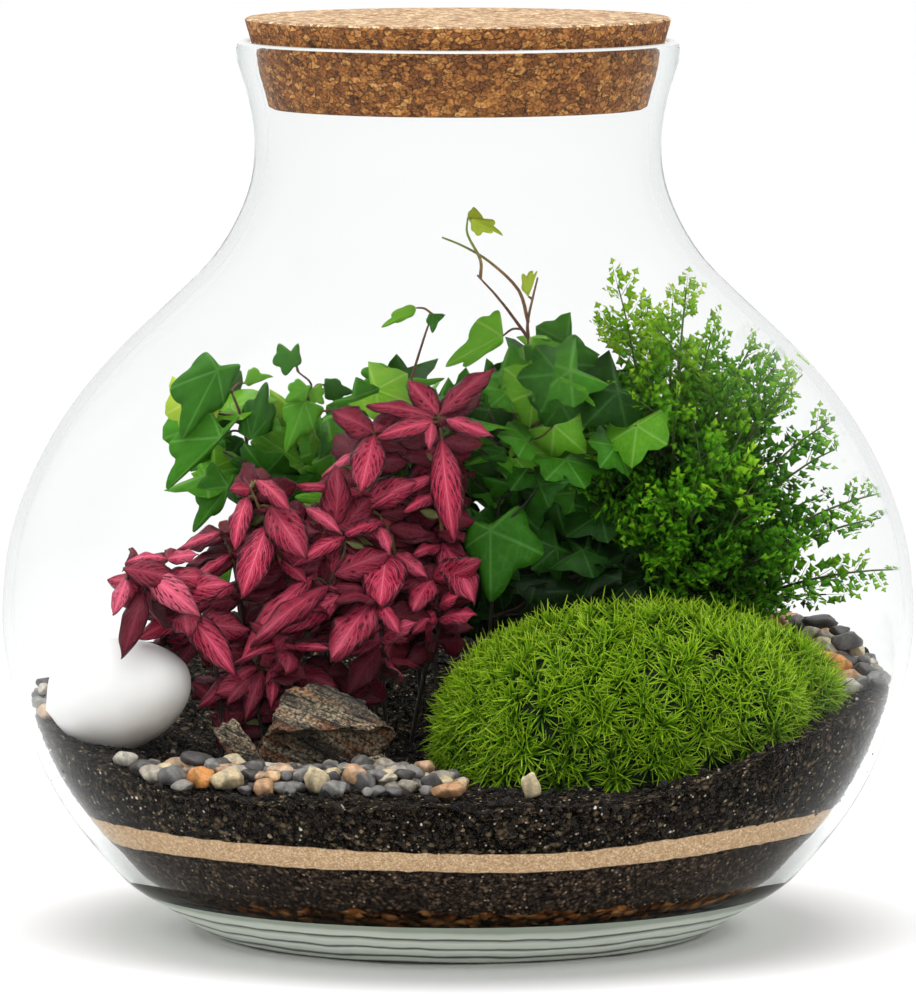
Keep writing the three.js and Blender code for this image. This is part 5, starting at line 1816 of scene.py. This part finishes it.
class Lobe(Enum):
    """The five lobes of an ivy leaf: the way of each from the stalk, in its own map."""

    TIP = (0.0, 1.0)
    LEFT = (-0.86, 0.5)
    BACK_LEFT = (-0.8, -0.6)
    BACK_RIGHT = (0.8, -0.6)
    RIGHT = (0.86, 0.5)


@dataclass
class Ivy:
    """Ivy on thin stems: measured leaves, and more behind them that fill the bush."""

    ground: Ground
    vase: Vase
    stem: tuple[float, float] = (0.85, 0.3)
    stalk: tuple[float, float] = (0.45, 0.3)
    thickness: float = 0.28
    # how deep the bays between two lobes reach, as shares of the lobes beside them
    bays: tuple[tuple[float, float], ...] = (
        (0.39, 0.44), (0.45, 0.47), (0.14, 0.14), (0.47, 0.45), (0.44, 0.39)
    )
    # where more leaves grow: outline from the front, least and most depth, how many, and a base
    # tone, low for painted shade deep in the bush
    thickets: tuple[tuple[tuple[Point, ...], float, float, int, float], ...] = (
        (
            (
                (-88, 150), (-82, 170), (-66, 172), (-50, 176), (-36, 170), (-36, 146), (-52, 138),
                (-74, 128), (-82, 124),
            ),
            20, 48, 22, 0.26,
        ),
        (
            (
                (-40, 158), (-26, 172), (-6, 168), (12, 170), (20, 180), (38, 182), (48, 172),
                (56, 162), (60, 150), (62, 132), (62, 92), (28, 88), (-14, 92), (-10, 140),
            ),
            6, 60, 190, 0.1,
        ),
        (((-66, 96), (-66, 118), (-36, 150), (-14, 140), (-14, 100), (-30, 92)), 22, 44, 34, 0.1),
        (((18, 92), (18, 112), (62, 112), (62, 94)), 4, 14, 24, -0.12),
    )
    # how a filling leaf hangs: from the least to the most along each axis
    hang: tuple[Point, ...] = ((-0.9, 0.9), (-0.5, 0.3), (-1, 0.35))
    wheel: Piece | None = None
    plain: Piece | None = None

    def spokes(self, name: str, count: int, rings: Sequence[float]) -> Piece:
        """Model a wheel of faces that each leaf is pressed from, with its own map.

        Args:
            name: The model's name.
            count: Spokes between two lobes.
            rings: How far out each ring of vertices lies, from the rim in.

        Returns:
            The wheel, of radius one.
        """
        wheel = start("circle", name, vertices=5 * count, radius=1, fill_type="NOTHING")
        open_edit(wheel)
        radius = 1.0
        for ring in rings:
            draw_ring(ring / radius)
            radius = ring
        bpy.ops.mesh.merge(type="CENTER")
        close_edit()
        if wheel.data.polygons[0].normal.z < 0:
            wheel.data.flip_normals()
        chart = (wheel.data.uv_layers.active or wheel.data.uv_layers.new(name="UVMap")).data
        lobes = [Vector(lobe.value) for lobe in Lobe]
        for loop in wheel.data.loops:
            spot, _ = self.pressed(wheel.data.vertices[loop.vertex_index].co, lobes)
            chart[loop.index].uv = (0.5 + 0.5 * spot.x, 0.5 + 0.5 * spot.y)
        return wheel

    def pressed(self, p: Vector, lobes: Sequence[Vector]) -> tuple[Vector, float]:
        """Press a vertex of the wheel to the outline that the lobes span.

        Args:
            p: The vertex.
            lobes: The five lobes' ends from the stalk, in the order of Lobe.

        Returns:
            Its place in the leaf's plane, and how far it lies between two lobes, 0 to 1.
        """
        turn = (math.atan2(p.y, p.x) / (2 * math.pi) * 5) % 5
        k = int(turn + 1e-6) % 5
        share = min(1.0, max(0.0, turn - k)) if turn >= k else 0.0
        one, two = lobes[k], lobes[(k + 1) % 5]
        bay_one, bay_two = self.bays[k]
        if share > 0.5:
            one, two, bay_one, bay_two, share = two, one, bay_two, bay_one, 1 - share
        s = 2 * share
        a = 1 - (1 - bay_one) * s**1.12
        b = bay_two * (1.5 * s - 0.5 * s * s)
        return (one * a + two * b) * p.xy.length, s

    def leaf(
        self, at: Vector, lobes: Sequence[Vector], right: Vector, up: Vector, tone: float,
        fine: bool, cup: float,
    ) -> Piece:
        """Press a leaf from the wheel.

        Args:
            at: Where its stalk joins it.
            lobes: The five lobes' ends, in the leaf's plane.
            right: The plane's first axis.
            up: The plane's second axis.
            tone: Its shade.
            fine: Whether it is one of the measured leaves.
            cup: How far its lobes bend back.

        Returns:
            The leaf.
        """
        blade = stamp(self.wheel if fine else self.plain, Vector(), RIGHT, BACK, UP, tone=tone)
        size = sum(lobe.length for lobe in lobes) / 5
        off = right.cross(up).normalized()

        def bent(p: Vector) -> Vector:
            """Lay a vertex in the leaf's plane, and raise or bend it off the plane."""
            out = min(1.0, p.length)
            spot, between = self.pressed(p, lobes)
            rise = size * (0.12 * out * (1 - out) + 0.05 * between * out - cup * out * out)
            return self.vase.held(at + right * spot.x + up * spot.y + off * rise, 1.2)

        return reshape(blade, bent)

    def dressed(self, name: str, node: Sequence[str], blades: list[Piece], ways: list) -> None:
        """Join leaves and stalks into one plant, and finish it.

        Args:
            name: The plant's name.
            node: The node that it stands for, if any.
            blades: Its leaves.
            ways: Its stems, as stalks takes them.
        """
        foliage = joined(name + "_leaves", blades)
        paint(foliage, IVY_LEAF)
        modified(foliage, "SOLIDIFY", thickness=self.thickness, offset=-1)
        stems = stalks(name + "_stems", ways, 1)

        def ripe(p: Vector) -> float:
            """Shade a stem from brown at the soil to green at a young end."""
            high = 0.5 * smooth_step((p.z - 130) / 45) + 0.4 * smooth_step((p.z - 190) / 25)
            return 0.1 + high + 0.2 * rough(p, 9)

        mark(stems, "tone", ripe)
        paint(stems, IVY_STEM)
        dress(joined(name, [foliage, stems]), node)

    def plant(self, shoot: Shoot, draw: Draws) -> list[list[Vector]]:
        """Grow one measured plant.

        Args:
            shoot: The plant as measured.
            draw: The draws.

        Returns:
            The lines of its stems.
        """
        axes = stem_lines(shoot, self.ground)
        thick, thin = self.stem
        ways = [(axis, thick * (0.72 if i else 1), thin) for i, axis in enumerate(axes)]
        blades = []
        for x, y, z, slope, *ends in shoot.leaves:
            at = Vector((x, y, z))
            spots = [Vector(ends[i : i + 2]) for i in range(0, 10, 2)]
            tip, left, right, back_left, back_right = spots
            bud = abs(x + 67) < 1 and z > 165 or abs(x - 23) < 4 and z > 190
            young = smooth_step((z - 196) / 14) + 0.8 * bud
            # painted shade: leaves further back are a little darker
            tone = draw.between(0.28, 0.72) - 0.004 * max(0.0, y - 15) + 0.45 * min(1.0, young)
            lobes = (tip, left, back_left, back_right, right)
            cup = draw.between(0.05, 0.2)
            blades.append(self.leaf(at, lobes, RIGHT, Vector((0, slope, 1)), tone, True, cup))
            origin = nearest(axes, at)
            middle = origin.lerp(at, 0.5) + UP * (origin - at).length * 0.14
            ways.append((smooth_line((origin, middle, at), 4), *self.stalk))
        self.dressed(shoot.node + "_plant", [shoot.node], blades, ways)
        return axes

    def thicket(self, axes: list[list[Vector]], draw: Draws) -> None:
        """Fill the bush with leaves that only show between the others.

        Args:
            axes: The stems that the leaves hang from.
            draw: The draws.
        """
        blades, ways = [], []
        for outline, near, far, count, shade in self.thickets:
            xs, zs = zip(*outline)
            for _ in range(count * 4):
                if count == 0:
                    break
                room = ((min(xs), max(xs)), (near, far), (min(zs), max(zs)))
                at = Vector([draw.between(*span) for span in room])
                size = draw.between(8.5, 16)
                hang = Vector([draw.between(*span) for span in self.hang]).normalized()
                tip = at + hang * size
                if not within(outline, at.x, at.z) or not within(outline, tip.x, tip.z):
                    continue
                count -= 1
                look = draw.near(Vector((0, -0.8, 0.5)), 0.6)
                if at.y > (near + far) / 2:
                    look.y = abs(look.y)
                right, _ = facing(hang, look)
                lobes = [Vector(lobe.value) * size * draw.between(0.7, 1.0) for lobe in Lobe]
                lobes[0] = Vector((0, size))
                # painted shade: leaves low in the bush and at the back are darker
                tone = shade + draw.between(0, 0.62) * smooth_step((at.z - 112) / 45)
                tone -= 0.1 * (at.y > 34)
                cup = draw.between(0.05, 0.25)
                blades.append(self.leaf(at, lobes, -right, hang, tone, False, cup))
                origin = nearest(axes, at - UP * 6)
                if (origin - at).length < 45:
                    middle = origin.lerp(at, 0.6) - UP * 2
                    ways.append((smooth_line((origin, middle, at), 3), *self.stalk))
        self.dressed("ivy_thicket", [], blades, ways)

    def build(self) -> None:
        """Grow every ivy plant."""
        self.wheel = self.spokes("ivy_wheel", 10, (0.82, 0.6, 0.36, 0.15))
        self.plain = self.spokes("ivy_wheel_plain", 4, (0.6,))
        draw = Draws(5523)
        axes = [axis for shoot in IVY_SHOOTS for axis in self.plant(shoot, draw)]
        self.thicket(axes, draw)
        thrown_away(self.wheel, self.plain)


@dataclass
class Fern:
    """The fine-leaved fern: wiry stems fan from its crown, and sprigs of tiny lobed leaflets."""

    ground: Ground
    vase: Vase
    crown: tuple[float, float] = (66, 46)
    base_lift: float = 9.0
    stem: tuple[float, float] = (0.75, 0.25)
    heart: Vector = field(default_factory=lambda: Vector((78, 34, 140)))
    sprigs: list[Piece] = field(default_factory=list)
    reach: tuple[Point, ...] = (
        (8, 138), (13, 157), (32, 163), (42, 173), (43, 208), (57, 206), (60, 198), (74, 212),
        (90, 188), (102, 170), (118, 158), (124, 142), (136, 138), (138, 112), (122, 98), (107, 94),
        (60, 96), (32, 97), (10, 100),
    )
    spacing: float = 6.0
    spared: float = 0.3  # the share of sprigs left out where the light comes through
    tips: tuple[Point, ...] = (
        (50, 20, 199), (59, 30, 190), (71, 5, 199), (67, 15, 194), (80, 15, 186), (92, 22, 180),
        (100, 25, 174), (107, 0, 173), (116, 12, 157), (119, 32, 147), (132, 2, 136),
        (133, 15, 127), (136, 2, 112), (116, 30, 101), (100, 50, 99), (61, 0, 109), (67, -4, 118),
        (42, 8, 133), (45, 14, 148), (40, 30, 159), (40, 46, 169), (52, 2, 125), (84, 22, 95),
        (81, -10, 153), (68, 2, 166), (59, 14, 173), (89, -14, 149), (76, -18, 137), (94, -14, 132),
        (103, -4, 118), (68, -14, 142), (101, 6, 163), (86, 12, 168), (70, 92, 150), (100, 78, 132),
        (42, 90, 136), (84, 62, 168), (62, 60, 182), (116, 56, 130),
    )

    def leaflet(self) -> Piece:
        """Model a leaflet of three small lobes, one unit long, closed by a low peak below."""
        shape = {"vertices": 8, "radius1": 1, "radius2": 0, "depth": 0.3}
        leaflet = start("cone", "fern_leaflet", end_fill_type="TRIFAN", **shape)

        def lobed(p: Vector) -> Vector:
            """Pull the rim in between the lobes and narrow it to its stalk."""
            turn = math.atan2(p.y, p.x)
            reach = 0.62 + 0.2 * math.cos(4 * turn) - 0.16 * math.cos(turn + math.pi)
            flat = p.xy.length
            lift = 0.1 * (1 if p.z > 0 else -0.3) * (flat < 0.5)
            if flat < 0.5:
                return Vector((0.5, 0, lift))
            wide = reach * math.sin(turn)
            return Vector(
                (0.5 + 0.6 * reach * math.cos(turn), 0.62 * wide, 0.12 * abs(math.sin(turn)))
            )

        reshape(leaflet, lobed)
        open_edit(leaflet)
        close_edit()
        return leaflet

    def sprig(self, name: str, count: int, leaflet: Piece, draw: Draws) -> Piece:
        """Model a sprig one unit long: a twig with leaflets that shrink towards its end.

        Args:
            name: The model's name.
            count: How many leaflets.
            leaflet: Their model.
            draw: The draws.

        Returns:
            The sprig, along x.
        """
        twig = turned(name + "_twig", [(0.016, 0), (0.006, 0.9)], 3)
        twig.data.transform(Matrix.Rotation(math.pi / 2, 4, "Y"))
        mark(twig, "grow", 0.1)
        pieces = [twig]
        for k in range(count):
            along = 0.06 + 0.84 * k / (count - 1)
            side = 1 if k % 2 else -1
            way = Vector((0.7, 0.85 * side, draw.between(-0.2, 0.45)))
            if k == count - 1:
                way = Vector((1, 0, 0.1))
            size = (0.47 - 0.15 * along) * draw.between(0.8, 1.2)
            across, face = facing(way.normalized(), draw.near(UP, 0.6))
            at = Vector((along, 0.02 * side, 0))
            piece = stamp(
                leaflet, at, way.normalized() * size, across * size, face * size, grow=along
            )
            pieces.append(piece)
        return joined(name, pieces)

    def twigs(
        self, line: Sequence[Vector], first: float, size: float, draw: Draws
    ) -> Iterator[Piece]:
        """Set sprigs in pairs along a stem, and one at its end.

        Args:
            line: The stem's points.
            first: Where the first pair is, as a share of its length.
            size: The length of a sprig at the stem's foot.
            draw: The draws.

        Yields:
            Each sprig.
        """
        last = len(line) - 1
        for i in range(max(1, int(last * first)), last + 1):
            t = i / last
            along = (line[i] - line[i - 1]).normalized()
            across, face = facing(along, draw.near(TO_VIEWER, 0.5))
            for side in (-1, 1) if i < last else (0,):
                way = along * draw.between(0.5, 0.95) + across * side * draw.between(0.5, 1.0)
                way += face * draw.between(-0.5, 0.6) * abs(side)
                long = size * (1 - 0.5 * t**1.5) * draw.between(0.75, 1.2)
                end = self.vase.held(line[i] + way.normalized() * long, 2.5)
                if end.z < self.ground.plain(end.x, end.y) + 3:
                    continue
                if side and draw.unit() < self.spared * smooth_step((end.z - 110) / 30):
                    continue
                way = end - line[i]
                wide, off = facing(way.normalized(), draw.near(TO_VIEWER, 0.7))
                # painted light and shade: sprigs deep in the bush are darker, those at the front
                # and top lighter
                outer = (end - self.heart).length / 62
                front = smooth_step((20 - end.y) / 50) * smooth_step((end.z - 100) / 40)
                high = smooth_step((end.z - 135) / 45)
                tone = 0.38 * smooth_step(outer - 0.3) + 0.14 * front + 0.2 * high
                tone += 0.24 * draw.unit() + 0.06 * t
                model = self.sprigs[int(draw.unit() * 2.99)]
                yield stamp(model, line[i], way, wide * long, off * long, tone=tone)

    def build(self) -> None:
        """Fan the stems out of the crown, let them branch, and set sprigs along them."""
        draw = Draws(4711)
        leaflet = self.leaflet()
        self.sprigs = [self.sprig(f"fern_sprig_{i}", 7, leaflet, draw) for i in range(3)]
        x, y = self.crown
        centre = Vector((x, y, self.ground.plain(x, y) + self.base_lift))
        ways = [([centre - UP * 16, centre - UP * 5, centre], 2.6, 2.0)]
        halves: tuple[list[Piece], list[Piece]] = ([], [])
        for number, tip in enumerate(map(Vector, self.tips)):
            round_way = math.atan2(tip.y - y, tip.x - x)
            base = centre + 1.9 * heading(round_way)
            rise = base.lerp(tip, 0.34)
            rise.z = base.z + (tip.z - base.z) * 0.66 + 7
            steps = max(8, int((tip - base).length / self.spacing))
            line = [
                base * (1 - t) ** 2 + rise * 2 * t * (1 - t) + tip * t * t
                for t in (i / steps for i in range(steps + 1))
            ]
            ways.append((line, *self.stem))
            half = halves[number % 2]
            half.extend(self.twigs(line, 0.2, 14, draw))
            for k, share in enumerate((0.3, 0.5) if tip.x > 114 else (0.3, 0.45, 0.6, 0.75)):
                root = line[int(steps * share)]
                along = (line[int(steps * share) + 1] - root).normalized()
                across, _ = facing(along, draw.near(TO_VIEWER, 0.6))
                way = along + across * (1 if k % 2 else -1) * draw.between(0.6, 1.0)
                end = root + way.normalized() * draw.between(17, 27) * (1.2 - 0.5 * share)
                inside = end.xy.length <= self.vase.inner_radius(end.z) - 8
                if not inside or not within(self.reach, end.x, end.z):
                    continue
                middle = root.lerp(end, 0.5) + UP * 1.5
                branch = smooth_line((root, middle, end), 2)
                ways.append((branch, 0.4, 0.2))
                half.extend(self.twigs(branch, 0.3, 9.5, draw))
        stems = stalks("fern_stems", ways, 0)
        mark(stems, "tone", lambda p: 0.1 + 0.8 * smooth_step((p - centre).length / 110))
        paint(stems, FERN_STEM)
        thrown_away(leaflet, *self.sprigs)
        for name, half in zip(("fern_bush_left", "fern_bush_right"), halves):
            dress(joined(name, half), ["fern"], [FERN_GREEN])
        dress(stems, ["fern"])


@dataclass
class Moss:
    """The cushion of moss: a dark core, and star-shaped tufts of fine needles all over it."""

    ground: Ground
    vase: Vase
    at: tuple[float, float] = (55, -32)
    half: tuple[float, float] = (64, 55)
    crown: float = 106.0
    sink: float = 5.0
    tufts: int = 700
    needles: int = 20
    length: float = 9.2

    def surface(self, u: float, turn: float, sink: float = 0.0) -> Vector:
        """Return a place on the cushion.

        Args:
            u: From 0 at the crown to 1 at the rim.
            turn: Round it, in radians.
            sink: How far under the cushion's skin.

        Returns:
            The place.
        """
        bump = 1 + 0.05 * math.sin(5 * turn) + 0.03 * math.cos(9 * turn + 1)
        flat = math.sin(u * math.pi / 2) * bump
        x = self.at[0] + (self.half[0] - sink) * flat * math.cos(turn)
        y = self.at[1] + (self.half[1] - sink) * flat * math.sin(turn)
        foot = self.ground.plain(x, y) - 3
        lift = max(0.0, math.cos(u * math.pi / 2)) ** 0.72
        hump = 2.2 * rough(Vector((x, y, 0)), 15, 2) * lift
        return Vector((x, y, foot + (self.crown - sink - foot) * lift + hump))

    def core(self) -> Piece:
        """Press a ball into the cushion's dark core."""
        core = start("uv_sphere", "moss_core", segments=64, ring_count=32, radius=1)

        def pressed(p: Vector) -> Vector:
            """Lay the upper half under the skin and the lower half in the soil."""
            turn = math.atan2(p.y, p.x)
            u = min(1.0, math.acos(min(1.0, max(0.0, p.z))) / (math.pi / 2))
            if p.z < -1e-4:
                rim = self.surface(1.0, turn, self.sink)
                middle = Vector((*self.at, 0))
                at = middle.lerp(rim, math.sqrt(max(0.0, 1 - p.z * p.z)))
                at.z = self.ground.plain(at.x, at.y) - 5
                return at
            return self.surface(u, turn, self.sink)

        reshape(core, pressed)
        return mark(mark(core, "tone", 0.02), "grow", 0.0)

    def tuft(self, name: str, needle: Piece, draw: Draws) -> Piece:
        """Set needles round one point like the rays of a star.

        Args:
            name: The model's name.
            needle: The model of a needle.
            draw: The draws.

        Returns:
            The tuft.
        """
        pieces = []
        for k in range(self.needles):
            lean = math.radians(8 + 68 * math.sqrt((k + 0.5) / self.needles))
            turn = GOLDEN_TURN * k + draw.between(-0.3, 0.3)
            flat = heading(turn)
            way = flat * math.sin(lean) + UP * math.cos(lean)
            side, off = facing(way, (UP - flat * 0.5).normalized())
            long = self.length * draw.between(0.7, 1.15) * (1 - 0.15 * math.sin(lean))
            pieces.append(stamp(needle, Vector(), off, side, way * long))
        return joined(name, pieces)

    def build(self) -> None:
        """Make the core, then plant the tufts on it."""
        draw = Draws(20417)
        needle = turned("moss_needle", [(0.3, 0), (0.36, 0.4), (0.05, 1)], 3)
        mark(needle, "grow", lambda p: p.z)
        reshape(needle, lambda p: p + Vector((-1.1 * p.z * p.z, 0, 0)))
        models = [self.tuft(f"moss_tuft_{i}", needle, draw) for i in range(5)]
        pieces = [self.core()]
        for i in range(self.tufts):
            u = math.sqrt((i + 0.5) / self.tufts)
            u = 0.03 + 0.97 * u**0.92
            turn = i * GOLDEN_TURN + draw.between(-0.12, 0.12)
            root = self.surface(min(1.0, u), turn, self.sink)
            beyond = self.surface(min(1.0, u + 0.03), turn, self.sink)
            beside = self.surface(min(1.0, u), turn + 0.05, self.sink)
            before = self.surface(max(0.0, u - 0.03), turn, self.sink)
            out = (beyond - before).cross(beside - root)
            out = (out if out.z > 0 else -out).normalized()
            flat = heading(turn)
            out = draw.near(out + flat * 0.25 * u, 0.22)
            if u > 0.9:
                out = (out + UP * 0.25).normalized()
            along, _ = facing(out, draw.direction())
            across = out.cross(along)
            size = draw.between(0.82, 1.15)
            # painted shade: tufts are darker towards the low rim of the cushion
            tone = 0.18 * draw.unit() + 0.1 * rough(root, 12) - 0.1 * u * u
            if root.xy.length > self.vase.inner_radius(root.z) - 9:
                continue
            pieces.append(
                stamp(models[i % 5], root, along * size, across * size, out * size, tone=tone)
            )
        thrown_away(needle, *models)
        moss = joined("moss_tufts", pieces)
        dress(moss, ["moss_cushion"], [MOSS_GREEN], crease=70)


# ---- the studio ----


@dataclass
class Studio:
    """A white paper floor, a broad soft light overhead, and the camera."""

    floor_size: float = 60.0
    camera_place: Point = (0.0, -2.75, 0.411)
    camera_tilt: float = 84.23
    lens: float = 318.4
    sky: float = 1.0
    # place, size and power of each soft box, which all look at the middle of the vase
    lamps: tuple[tuple[Point, float, float], ...] = (
        ((-0.22, -0.05, 1.8), 1.9, 31.0), ((0.9, 0.3, 1.5), 1.2, 4.0)
    )
    middle: Point = (0.0, 0.0, 0.12)

    def build(self) -> None:
        """Lay the floor and set the lights and the camera."""
        scene = bpy.context.scene
        floor = start("plane", "studio_floor", size=self.floor_size, location=(0, 0, -0.0002))
        paint(floor, PAPER)
        world = bpy.data.worlds.new("studio_sky")
        world.use_nodes = True
        background = world.node_tree.nodes["Background"].inputs
        background["Strength"].default_value = self.sky
        background["Color"].default_value = (1, 1, 1, 1)
        scene.world = world
        for place, size, power in self.lamps:
            aim = Vector(self.middle) - Vector(place)
            turn = aim.to_track_quat("-Z", "Y").to_euler()
            bpy.ops.object.light_add(type="AREA", location=place, rotation=turn)
            lamp = bpy.context.object
            lamp.data.size = size
            lamp.data.energy = power
        tilt = math.radians(self.camera_tilt)
        bpy.ops.object.camera_add(location=self.camera_place, rotation=(tilt, 0, 0))
        camera = bpy.context.object
        camera.data.lens = self.lens
        camera.data.sensor_width = 36
        camera.data.clip_end = 60
        scene.camera = camera
        scene.view_settings.view_transform = "Standard"


def main() -> None:
    """Build the terrarium from the glass inwards, then the studio round it."""
    logging.basicConfig(level=logging.INFO, format="%(name)s: %(message)s")
    vase = Vase()
    ground = Ground()
    assemblies = (
        vase, Stopper(), Beds(vase, ground), Cobble(), Rocks(), Gravel(ground, vase),
        NervePlants(ground, vase), Ivy(ground, vase), Fern(ground, vase), Moss(ground, vase),
        Studio(),
    )
    for assembly in assemblies:
        log.info("building %s", type(assembly).__name__)
        assembly.build()


if __name__ == "__main__":
    main()
